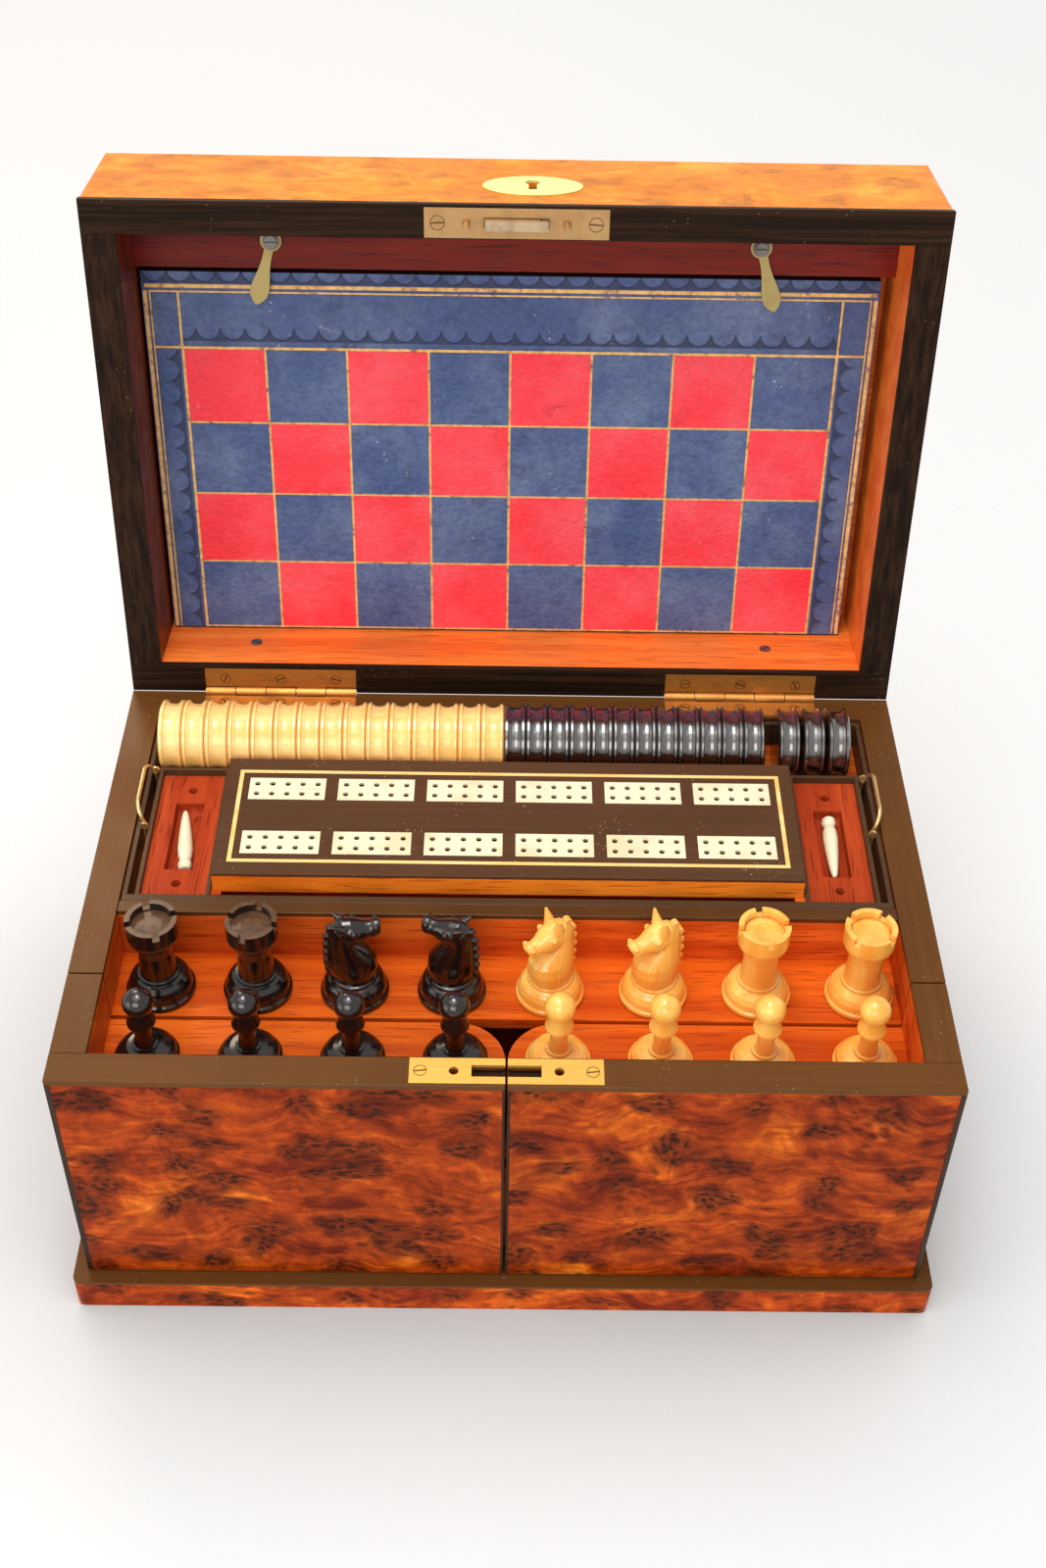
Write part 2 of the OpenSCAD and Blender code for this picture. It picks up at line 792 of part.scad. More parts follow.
module left_door_rim() {
    color(ebony) difference() {
        mirror([1, 0, 0]) door_rim();
        lock_mortise();
        strike_seat();
    }
}

module right_door_edging() {
    color(ebony) difference() {
        door_edging();
        lock_mortise();
    }
}

module left_door_edging() {
    color(ebony) difference() {
        mirror([1, 0, 0]) door_edging();
        lock_mortise();
    }
}

module right_door_shelves() {
    color(mahogany) door_shelves();
}

module left_door_shelves() {
    color(mahogany) mirror([1, 0, 0]) door_shelves();
}

module right_strike_plate() {
    color(brass) strike_plate(1);
}

module left_strike_plate() {
    color(brass) mirror([1, 0, 0]) strike_plate(-1);
}

// ---- chessmen ----

// rim, dome and ring of a turned foot, up to height h and stem radius neck
function foot(r, neck, h) = concat(
    [[0, 0], [r - 0.5, 0], [r, 0.6], [r, 2.2], [r - 0.8, 3]],
    [for (i = [1:4]) [neck + (r - 0.8 - neck) * cos(i * 22.5), 3 + (h - 3) * sin(i * 22.5)]],
    [[neck + 0.6, h], [neck + 0.6, h + 1], [neck - 0.4, h + 1.2]]);

module turned(outline) {
    rotate_extrude() polygon(outline);
}

// rook: cup-shaped head with four notches and a slightly domed floor
module rook(h) {
    difference() {
        turned(concat(foot(foot_r, 7.5, 0.25 * h), [[6.9, 0.36 * h], [6.7, 0.58 * h],
            [7.2, 0.68 * h], [9.5, 0.77 * h], [9.9, 0.81 * h], [9.9, h], [7.8, h],
            [7.8, h - cup_deep], [4, h - cup_deep + 0.4], [0, h - cup_deep + 0.5]]));
        for (a = [20, 110]) rotate([0, 0, a]) translate([-12, -1.4, h - cup_deep + 0.6])
            cube([24, 2.8, 5]);
    }
}

// pawn: the collar is a skirt that flares down from under the ball
module pawn(h) {
    ball_r = 5.8;
    turned(concat(foot(pawn_foot_r, 4.3, 0.22 * h), [[3.4, 0.34 * h], [3.2, 0.46 * h],
        [3.5, 0.545 * h], [5.4, 0.56 * h], [5.4, 0.585 * h], [3.4, 0.73 * h],
        [0, 0.78 * h]]));
    translate([0, 0, h - ball_r]) sphere(ball_r);
}

// closed skin over a list of rings with equal numbers of points
module skin(rings) {
    n = len(rings[0]);
    last = len(rings) - 1;
    polyhedron([for (r = rings) each r], concat(
        [[for (j = [0:n - 1]) j], [for (j = [0:n - 1]) last * n + n - 1 - j]],
        [for (k = [0:last - 1], j = [0:n - 1]) each
            [[k * n + j, (k + 1) * n + j, k * n + (j + 1) % n],
            [(k + 1) * n + j, (k + 1) * n + (j + 1) % n, k * n + (j + 1) % n]]]));
}

// a point at x and z turned about the pivot in the neck
function nodded(x, z, nod) = [
    pivot_x + (x - pivot_x) * cos(nod) + (z - pivot_z) * sin(nod),
    pivot_z - (x - pivot_x) * sin(nod) + (z - pivot_z) * cos(nod)];

function horse_ring(s, nod, k) = let (c = nodded(s[0], s[1], s[5] * nod), t = s[2] + s[5] * nod)
    [for (j = [0.5:ring_n]) let (a = j * 360 / ring_n)
        k * [c[0] + s[3] * cos(a) * cos(t), s[4] * sin(a) * (1 + 0.12 * cos(a)),
        c[1] - s[3] * cos(a) * sin(t)]];

// puts a detail on the head at x, y, z
module on_head(x, y, z, nod, k) {
    c = nodded(x, z, nod);
    translate(k * [c[0], y, c[1]]) rotate([0, nod, 0]) children();
}

// a lock of the mane on the nape, on the line between two rings
module mane_lock(i, nod, k) {
    a = horse[i];
    b = horse[i + 1];
    s = (a + b) / 2;
    c = nodded(s[0], s[1], s[5] * nod);
    t = s[2] + s[5] * nod;
    translate(k * [c[0] - s[3] * cos(t), 0, c[1] + s[3] * sin(t)]) rotate([90, 0, 0])
        cylinder(r = 1.5 * k, h = 2.6 * k, center = true, $fn = 16);
}

module horse(nod, ear, ear_l, ear_r, k) {
    skin([for (s = horse) horse_ring(s, nod, k)]);
    for (i = [1:6]) mane_lock(i, nod, k);
    for (s = [-1, 1]) {
        on_head(0.9, s * 4.5, 24.2, nod, k) sphere(1.2 * k, $fn = 16);
        on_head(-2.6, s * 2.7, 25.4, nod, k) rotate([s * -14, ear, 0])
            cylinder(r1 = ear_r * k, r2 = 0.5 * k, h = ear_l * k, $fn = 24);
        on_head(9, s * 2.6, 24.6, nod, k) sphere(1 * k, $fn = 16);
    }
}

// knight that looks along turn, measured from +X
module knight(h, turn, nod, ear, ear_l, ear_r) {
    seat = 0.24 * h + 1.2;
    turned(concat(foot(foot_r, 8.4, 0.24 * h), [[0, seat]]));
    translate([0, 0, seat - 0.3]) rotate([0, 0, turn])
        horse(nod, ear, ear_l, ear_r, h / knight_drawn);
}

module bishop(h) {
    difference() {
        union() {
            turned(concat(foot(foot_r - 0.2, 7, 0.19 * h), [[4.6, 0.28 * h], [3.8, 0.5 * h],
                [4.4, 0.6 * h], [6.8, 0.63 * h], [6.8, 0.65 * h], [4, 0.68 * h],
                [5.6, 0.76 * h], [5.2, 0.84 * h], [3, 0.91 * h], [1, 0.94 * h],
                [0, 0.94 * h]]));
            translate([0, 0, 0.955 * h]) sphere(1.7);
        }
        translate([1.5, -8, 0.86 * h]) rotate([0, 35, 0]) cube([8, 16, 1.1]);
    }
}

module queen(h) {
    turned(concat(foot(foot_r, 7.6, 0.18 * h), [[5, 0.28 * h], [4, 0.5 * h],
        [4.6, 0.62 * h], [7.4, 0.65 * h], [7.4, 0.67 * h], [4.6, 0.69 * h],
        [5.2, 0.78 * h], [7.8, 0.91 * h], [7, 0.92 * h], [5.6, 0.9 * h], [3, 0.94 * h],
        [0, 0.95 * h]]));
    translate([0, 0, 0.965 * h]) sphere(2);
}

module king(h) {
    turned(concat(foot(foot_r + 0.2, 7.8, 0.17 * h), [[5.2, 0.26 * h], [4.2, 0.48 * h],
        [4.8, 0.58 * h], [7.8, 0.61 * h], [7.8, 0.63 * h], [4.8, 0.65 * h],
        [5.6, 0.74 * h], [7.8, 0.86 * h], [5, 0.9 * h], [0, 0.92 * h]]));
    translate([-0.9, -0.9, 0.9 * h]) cube([1.8, 1.8, 0.1 * h]);
    translate([-2.6, -0.9, 0.94 * h]) cube([5.2, 1.8, 0.028 * h]);
}

module rooks_black() {
    color(black_wood) for (i = [0, 1]) translate([black_x(i), men_y, shelf_z])
        rotate([0, 0, 55 * i]) rook(rook_h);
}

module rooks_white() {
    color(boxwood) for (i = [2, 3]) translate([white_x(i), men_y, shelf_z])
        rotate([0, 0, 40 * i]) rook(rook_h);
}

module knights_black() {
    color(black_wood) {
        translate([black_x(2), men_y, shelf_z]) knight(knight_h, 8, -3, -50, 4.6, 1.9);
        translate([black_x(3), men_y, shelf_z]) knight(knight_h, 162, -3, -50, 4.6, 1.9);
    }
}

module knights_white() {
    color(boxwood) for (i = [0, 1]) translate([white_x(i), men_y, shelf_z])
        knight(knight_h, 215 - 10 * i, 18, -12, 7, 2.3);
}

// king, queen and two bishops of one colour, on the lower floor
module officers(side) {
    for (i = [0:3]) translate([side > 0 ? white_x(i) : black_x(i), men_y, floor_z]) {
        if (i == 0) king(king_h);
        if (i == 1) queen(0.87 * king_h);
        if (i > 1) bishop(0.74 * king_h);
    }
}

module officers_black() {
    color(black_wood) officers(-1);
}

module officers_white() {
    color(boxwood) officers(1);
}

// four pawns on the door's shelf and four on its floor
module pawns(side) {
    for (z = [shelf_z, floor_z], i = [0:3]) translate([side * pawn_x(i), pawn_y, z])
        pawn(pawn_h);
}

module pawns_black() {
    color(black_wood) pawns(-1);
}

module pawns_white() {
    color(boxwood) pawns(1);
}

// ---- lid ----

// a slab as large as the lid with all its outer edges rounded but those at the rim
module lid_block() {
    h = lid_z1 - lid_z0 - rim_t;
    intersection() {
        linear_extrude(h) round_rect(case_w, case_d, lid_r);
        rotate([90, 0, 0]) translate([0, 0, -case_d])
            linear_extrude(2 * case_d) lid_section(case_w, h);
        rotate([90, 0, 90]) translate([0, 0, -case_w])
            linear_extrude(2 * case_w) lid_section(case_d, h);
    }
}

// section of the lid: square at the foot and round at the top
module lid_section(w, h) {
    translate([-w / 2, 0]) square([w, h - lid_r]);
    translate([-w / 2 + lid_r, 0]) square([w - 2 * lid_r, h]);
    for (x = [-1, 1]) translate([x * (w / 2 - lid_r), h - lid_r]) circle(lid_r);
}

// room for the lid's hinge leaves and knuckles
module lid_leaf_seat() {
    both() {
        span([hinge_x - hinge_len / 2, y_back - hinge_leaf_w, lid_z0 - 1],
            [hinge_x + hinge_len / 2, y_back + 1, lid_z0 + hinge_leaf_t]);
        translate([0, y_back, rim_z]) bar_x(hinge_x - hinge_len / 2 - knuckle_gap,
            hinge_x + hinge_len / 2 + knuckle_gap, knuckle_r + notch_clear);
    }
}

// outline of the oval escutcheon
module oval(w, h) {
    polygon([for (i = [0:47]) [w * cos(i * 7.5), h * sin(i * 7.5)]]);
}

module keyhole(deep) {
    translate([oval_off, y_front - 2, rim_z + keyhole_up]) rotate([-90, 0, 0]) {
        cylinder(r = keyhole_r, h = deep + 2);
        translate([-keyhole_w / 2, 0, 0]) cube([keyhole_w, keyhole_down, deep + 2]);
    }
}

module lid_box() {
    color(burr) opened() difference() {
        translate([0, 0, lid_z0 + rim_t]) lid_block();
        span([-x_in, y_in_front, 0], [x_in, y_in_back, lid_in_z]);
        span([-lock_case_l / 2, lock_y - lock_case_t / 2, 0],
            [lock_case_l / 2, lock_y + lock_case_t / 2, lid_z0 + lock_case_h]);
        translate([oval_off, y_front + 0.5, rim_z + oval_up]) rotate([90, 0, 0])
            linear_extrude(2) oval(oval_x, oval_z);
        keyhole(lock_in);
        lid_leaf_seat();
    }
}

// front and back rails run the full width, the side rails butt against them
module lid_rim() {
    color(ebony) opened() difference() {
        union() {
            for (s = [-1, 1]) {
                span([-x_out, s > 0 ? y_in_back : y_front, lid_z0],
                    [x_out, s > 0 ? y_back : y_in_front, lid_z0 + rim_t]);
                span([s > 0 ? x_in : -x_out, y_in_front + 0.1, lid_z0],
                    [s > 0 ? x_out : -x_in, y_in_back - 0.1, lid_z0 + rim_t]);
            }
        }
        span([-lock_l / 2, lock_y - lock_w / 2, 0],
            [lock_l / 2, lock_y + lock_w / 2, lid_z0 + plate_t]);
        span([-lock_case_l / 2, lock_y - lock_case_t / 2, 0],
            [lock_case_l / 2, lock_y + lock_case_t / 2, lid_z0 + lock_case_h]);
        lid_leaf_seat();
    }
}

module lid_batten() {
    color(mahogany) opened() difference() {
        span([-x_in, y_in_front, batten_z], [x_in, batten_y, lid_in_z]);
        button_screw_places() translate([0, 0, batten_z - 1])
            cylinder(r = button_screw_r, h = button_screw_l + 1);
    }
}

module lock_case() {
    color(brass) opened() difference() {
        span([-lock_case_l / 2, lock_y - lock_case_t / 2, lid_z0 + plate_t],
            [lock_case_l / 2, lock_y + lock_case_t / 2, lid_z0 + lock_case_h]);
        span([-bolt_l / 2 - 3.2, lock_y - bolt_t / 2 - 0.3, 0],
            [bolt_l / 2 + bolt_throw + 3.2, lock_y + bolt_t / 2 + 0.3, lid_z0 + 9]);
        keyhole(lock_in);
    }
}

// plate with its two pegs
module lock_plate() {
    color(brass) opened() {
        difference() {
            span([-lock_l / 2, lock_y - lock_w / 2, lid_z0],
                [lock_l / 2, lock_y + lock_w / 2, lid_z0 + plate_t]);
            span([-bolt_l / 2 - 0.3, lock_y - bolt_t / 2 - 0.2, 0],
                [bolt_l / 2 + 0.3, lock_y + bolt_t / 2 + 0.2, lid_z0 + 5]);
            both() translate([lock_l / 2 - lock_screw_in, lock_y, lid_z0]) mirror([0, 0, 1])
                screw_cut(lock_screw_r, 4);
        }
        both() translate([peg_pitch / 2, lock_y, rim_z - peg_reach])
            cylinder(r = lock_peg_r, h = peg_reach + lid_gap + eps);
    }
}

// slider in the lock case, neck through the plate and foot that hooks under the strike
module lock_bolt() {
    color(steel) opened() {
        span([-bolt_l / 2 - 3, lock_y - bolt_t / 2, lid_z0 + plate_t + 0.2],
            [bolt_l / 2 + 3, lock_y + bolt_t / 2, lid_z0 + 8]);
        span([-bolt_l / 2, lock_y - bolt_t / 2, rim_z - bolt_under - eps],
            [bolt_l / 2 - bolt_throw, lock_y + bolt_t / 2, lid_z0 + plate_t + 0.3]);
        span([-bolt_l / 2, lock_y - bolt_t / 2, rim_z - bolt_under - foot_t],
            [bolt_l / 2, lock_y + bolt_t / 2, rim_z - bolt_under]);
    }
}

module escutcheon() {
    color(brass) opened() difference() {
        translate([oval_off, y_front + 0.5, rim_z + oval_up]) rotate([90, 0, 0])
            linear_extrude(1) oval(oval_x, oval_z);
        keyhole(lock_in);
    }
}

module button_screw_places() {
    for (s = [-1, 1]) translate([s * button_x, batten_y - button_in, 0]) children();
}

// steel screws with washers on the turn-buttons, and two screws in the hinge-side wall
module lid_screws() {
    washer_at = button_t + 0.1;
    color(steel) opened() {
        button_screw_places() translate([0, 0, batten_z]) mirror([0, 0, 1]) {
            translate([0, 0, -button_screw_l])
                cylinder(r = button_screw_r, h = button_screw_l + washer_at + eps);
            translate([0, 0, washer_at]) cylinder(r = washer_r, h = washer_t);
            difference() {
                translate([0, 0, washer_at + washer_t - eps]) cylinder(r = head_r, h = head_t);
                translate([-head_r - 1, -screw_slot / 2, washer_at + washer_t + head_t / 2])
                    cube([2 * head_r + 2, screw_slot, head_t]);
            }
        }
        for (s = [-1, 1]) translate([s * wall_screw_x, y_in_back, rim_z + wall_screw_up])
            rotate([90, 0, 0]) difference() {
                cylinder(r = head_r, h = head_t / 2);
                rotate([0, 0, 30 * s]) translate([-head_r - 1, -screw_slot / 2, head_t / 6])
                    cube([2 * head_r + 2, screw_slot, head_t]);
            }
    }
}

// round head, narrow neck and a paddle that comes to a blunt point along +Y
module button_plan() {
    half = [[0, neck_w / 2], [0.3, neck_w / 2], [0.45, 0.3 * paddle_w], [0.62, 0.42 * paddle_w],
        [0.76, paddle_w / 2], [0.86, 0.46 * paddle_w], [0.94, 0.28 * paddle_w], [1, 0.06 * paddle_w]];
    circle(button_r);
    polygon(concat([for (p = half) [p[1], p[0] * button_l]],
        [for (i = [len(half) - 1:-1:0]) [-half[i][1], half[i][0] * button_l]]));
}

module turn_button() {
    translate([button_x, batten_y - button_in, batten_z - button_t]) difference() {
        rotate([0, 0, -button_turn]) linear_extrude(button_t) button_plan();
        translate([0, 0, -1]) cylinder(r = button_screw_r + 0.08, h = button_t + 2);
    }
}

module right_turn_button() {
    color(brass) opened() turn_button();
}

module left_turn_button() {
    color(brass) opened() mirror([1, 0, 0]) turn_button();
}

// ---- folding board, kept folded in the lid with its squares outward ----

module board_leaves() {
    color([0.5, 0.33, 0.16]) opened() for (i = [0, 1])
        span([-board_w / 2 - board_shift, board_y0, board_z + i * (leaf_t + 0.2)],
            [board_w / 2 - board_shift, board_y1, board_z + i * (leaf_t + 0.2) + leaf_t]);
}

module board_spine() {
    color([0.3, 0.12, 0.08]) opened()
        span([-board_w / 2 - board_shift, board_y1, board_z],
            [board_w / 2 - board_shift, board_y1 + spine_t, lid_in_z]);
}

// squares of one colour on the face that shows, counted from the fold
module squares(colour) {
    for (row = [0:3], col = [0:7]) if ((row + col) % 2 == colour)
        translate([-board_shift + (col - 4) * square + gold_line / 2,
            squares_y1 - (row + 1) * square_d + gold_line / 2, board_z - leather_t])
            cube([square - gold_line, square_d - gold_line, leather_t]);
}

module board_red_squares() {
    color([0.62, 0.1, 0.07]) opened() squares(1);
}

module board_blue_squares() {
    color([0.1, 0.2, 0.36]) opened() squares(0);
}

// ---- tray ----

module tray_walls() {
    color(ebony) translate([0, 0, tray_floor]) linear_extrude(tray_wall_h) difference() {
        translate([-tray_x, tray_y0]) square([2 * tray_x, tray_y1 - tray_y0]);
        translate([-slot_x1, trough_y0]) square([2 * slot_x1, trough_w]);
        translate([-bay_x, bay_y0]) square([2 * bay_x, bay_y1 - bay_y0]);
        for (s = [-1, 1]) {
            translate([s > 0 ? block_x0 : -block_x1, bay_y0])
                square([block_w, bay_y1 - bay_y0]);
            translate([s > 0 ? slot_x0 : -slot_x1, bay_y0]) square([slot_gap, bay_y1 - bay_y0]);
        }
    }
}

// floor, with the strips that carry the cribbage board
module tray_floor_board() {
    color(mahogany) {
        span([-tray_x, tray_y0, tray_bottom], [tray_x, tray_y1, tray_floor]);
        both() span([bay_x - crib_bearer_w, bay_y0, tray_floor - eps],
            [bay_x, bay_y1, crib_z]);
    }
}

// right block: a recess with rounded end corners and a drilled hole at each end
module peg_block() {
    difference() {
        span([block_x0, bay_y0, tray_floor], [block_x1, bay_y1, block_z]);
        span([block_xm - recess_w / 2, block_ym - recess_l / 2, block_z - recess_deep + scoop_r],
            [block_xm + recess_w / 2, block_ym + recess_l / 2, block_z + 1]);
        span([block_xm - recess_w / 2, block_ym - recess_l / 2 + scoop_r, block_z - recess_deep],
            [block_xm + recess_w / 2, block_ym + recess_l / 2 - scoop_r, block_z + 1]);
        for (s = [-1, 1]) {
            translate([0, block_ym + s * (recess_l / 2 - scoop_r), block_z - recess_deep + scoop_r])
                bar_x(block_xm - recess_w / 2, block_xm + recess_w / 2, scoop_r);
            translate([block_xm, block_ym + s * drill_pitch / 2, block_z - drill_deep])
                cylinder(r = drill_r, h = drill_deep + 1);
        }
    }
}

module peg_blocks() {
    color(mahogany) both() peg_block();
}

// bead, neck, belly and long taper of a bone peg, bead at the origin and tip up
module bone_peg() {
    rotate_extrude() polygon([[0, 0], [1.9, 0], [2.8, 1.1], [2.9, 3], [2.3, 4.6], [2.2, 5],
        [2.9, 8], [peg_r, 12], [0.86 * peg_r, 0.58 * peg_l], [0.6 * peg_r, 0.83 * peg_l],
        [0.4 * peg_r, 0.95 * peg_l], [0.2 * peg_r, peg_l], [0, peg_l]]);
}

// the left peg points to the back, the right one to the front
module bone_pegs() {
    color(bone) for (s = [-1, 1])
        translate([s * block_xm, block_ym, block_z - recess_deep + peg_r])
            rotate([0, 0, s < 0 ? left_peg_turn : right_peg_turn]) translate([0, s * peg_l / 2, 0])
                rotate([s * 90, 0, 0]) bone_peg();
}

// eyes on stems that stand in the slots
module handle_eyes() {
    color(brass) for (sx = [-1, 1], sy = [-1, 1])
        translate([sx * bail_x, bail_y + sy * (bail_w / 2 + wire_r + 0.3 + eye_t / 2), bail_z])
            difference() {
                union() {
                    bar_y(-eye_t / 2, eye_t / 2, eye_r);
                    translate([0, 0, tray_floor - bail_z])
                        cylinder(r = eye_t / 2, h = bail_z - tray_floor);
                }
                bar_y(-2, 2, wire_r + eye_clear);
            }
}

// round wire bent to a flat arch, with a pin outward at each foot
module bail() {
    straight = bail_h - bail_bend;
    for (s = [0, 1]) mirror([0, s, 0]) {
        translate([0, bail_w / 2, 0]) {
            cylinder(r = wire_r, h = straight);
            sphere(wire_r);
            bar_y(0, wire_r + 0.5 + eye_t, wire_r);
        }
        translate([0, bail_w / 2 - bail_bend, straight]) rotate([90, 0, 90])
            rotate_extrude(angle = 90) translate([bail_bend, 0]) circle(wire_r, $fn = 24);
        translate([0, 0, bail_h]) bar_y(0, bail_w / 2 - bail_bend, wire_r);
    }
}

module right_handle() {
    color(brass) translate([bail_x, bail_y, bail_z]) rotate([0, bail_lean, 0]) bail();
}

module left_handle() {
    color(brass) mirror([1, 0, 0]) translate([bail_x, bail_y, bail_z])
        rotate([0, bail_lean, 0]) bail();
}

// ---- draughts ----

// beaded edge with a hollow waist
module draught(t) {
    h = t / 2 - draught_skin;
    rotate([0, 90, 0]) rotate_extrude() polygon([[0, -h], [draught_r - 0.9, -h],
        [draught_r, -bead_at * h], [draught_r, -0.66 * h], [draught_r - 0.9, -0.56 * h],
        [draught_r - 1.5, -0.25 * h], [draught_r - 1.6, 0], [draught_r - 1.5, 0.25 * h],
        [draught_r - 0.9, 0.56 * h], [draught_r, 0.66 * h], [draught_r, bead_at * h],
        [draught_r - 0.9, h], [0, h]]);
}

module draughts_light() {
    color(boxwood) for (i = [0:per_side - 1])
        translate([row_x0 + (i + 0.5) * light_t, draught_y, draught_z]) draught(light_t);
}

// the last three stand a little apart
module draughts_dark() {
    color(black_wood) for (i = [0:per_side - 1]) {
        k = i - per_side + loose;
        gap = k < 0 ? 0 : first_gap + k * loose_gap;
        translate([row_x1 + (i + 0.5) * dark_t + gap, draught_y, draught_z]) draught(dark_t);
    }
}

// ---- cribbage board ----

module bone_places() {
    for (row = [-1, 1], i = [0:plates - 1])
        translate([(i - (plates - 1) / 2) * bone_pitch, crib_ym + row * bone_rows / 2, 0])
            children();
}

module hole_places() {
    for (x = [-2:2], y = [-1, 1]) translate([x * bone_w / 5.05, y * bone_d / 4.4, 0]) children();
}

module crib_body() {
    color(mahogany) difference() {
        span([-crib_x, crib_y0, crib_z], [crib_x, crib_y1, crib_z + crib_t - crib_top_t]);
        bone_places() hole_places()
            translate([0, 0, crib_z + crib_t - crib_top_t - hole_deep])
                cylinder(r = hole_r, h = hole_deep + 1, $fn = 16);
    }
}

module crib_top() {
    color(ebony) translate([0, 0, crib_z + crib_t - crib_top_t]) linear_extrude(crib_top_t)
        difference() {
            translate([-crib_x, crib_y0]) square([2 * crib_x, crib_y1 - crib_y0]);
            bone_places() square([bone_w, bone_d], center = true);
            line_plan();
        }
}

module line_plan() {
    translate([0, crib_ym]) difference() {
        square([2 * line_x, 2 * line_y], center = true);
        square([2 * (line_x - line_w), 2 * (line_y - line_w)], center = true);
    }
}

module crib_plates() {
    color(bone) bone_places() difference() {
        translate([-bone_w / 2, -bone_d / 2, crib_z + crib_t - crib_top_t])
            cube([bone_w, bone_d, crib_top_t]);
        hole_places() translate([0, 0, crib_z]) cylinder(r = hole_r, h = 20, $fn = 16);
    }
}

module crib_line() {
    color(boxwood) translate([0, 0, crib_z + crib_t - crib_top_t])
        linear_extrude(crib_top_t) line_plan();
}

base_board();
carcase_bottom();
plinth();
plinth_ledge();
back_wall();
side_walls();
case_rim();
ebony_trim();
partition();
upper_shelf();
tray_bearers();
case_hinges();
rooks_black();
rooks_white();
knights_black();
knights_white();
officers_black();
officers_white();
left_door();
left_door_rim();
left_door_edging();
left_door_shelves();
left_strike_plate();
left_door_hinges();
pawns_black();
right_door();
right_door_rim();
right_door_edging();
right_door_shelves();
right_strike_plate();
right_door_hinges();
pawns_white();
lid_box();
lid_rim();
lid_batten();
lock_case();
lock_plate();
lock_bolt();
escutcheon();
lid_hinges();
lid_screws();
board_leaves();
board_spine();
board_red_squares();
board_blue_squares();
left_turn_button();
right_turn_button();
tray_walls();
tray_floor_board();
peg_blocks();
bone_pegs();
handle_eyes();
left_handle();
right_handle();
draughts_light();
draughts_dark();
crib_body();
crib_top();
crib_plates();
crib_line();
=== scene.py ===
import bpy
import math
from mathutils import Matrix, Vector

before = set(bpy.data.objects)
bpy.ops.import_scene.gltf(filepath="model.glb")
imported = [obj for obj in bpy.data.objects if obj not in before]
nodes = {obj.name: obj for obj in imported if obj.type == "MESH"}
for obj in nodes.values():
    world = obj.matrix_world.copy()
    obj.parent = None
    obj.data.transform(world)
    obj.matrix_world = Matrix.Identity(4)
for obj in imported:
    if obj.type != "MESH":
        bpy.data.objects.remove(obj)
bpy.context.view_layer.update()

print("frame loaded:", len(nodes), "pieces")

# the line that the lid turns about, metres, and how far the lid stands open
lidHinge = {"y": 0.108, "z": 0.1354, "open": math.radians(98.2)}
# inner faces of the case's walls, metres; slack is a little more than an eased edge
inner = {"x": 0.1518, "front": -0.0948, "back": 0.0948, "slack": 0.0005}


# colours are written as they look on a screen, 0 to 255
def paint(red, green, blue):
    def toLinear(v):
        v = v / 255.0
        return v / 12.92 if v <= 0.04045 else ((v + 0.055) / 1.055) ** 2.4
    return (toLinear(red), toLinear(green), toLinear(blue), 1.0)


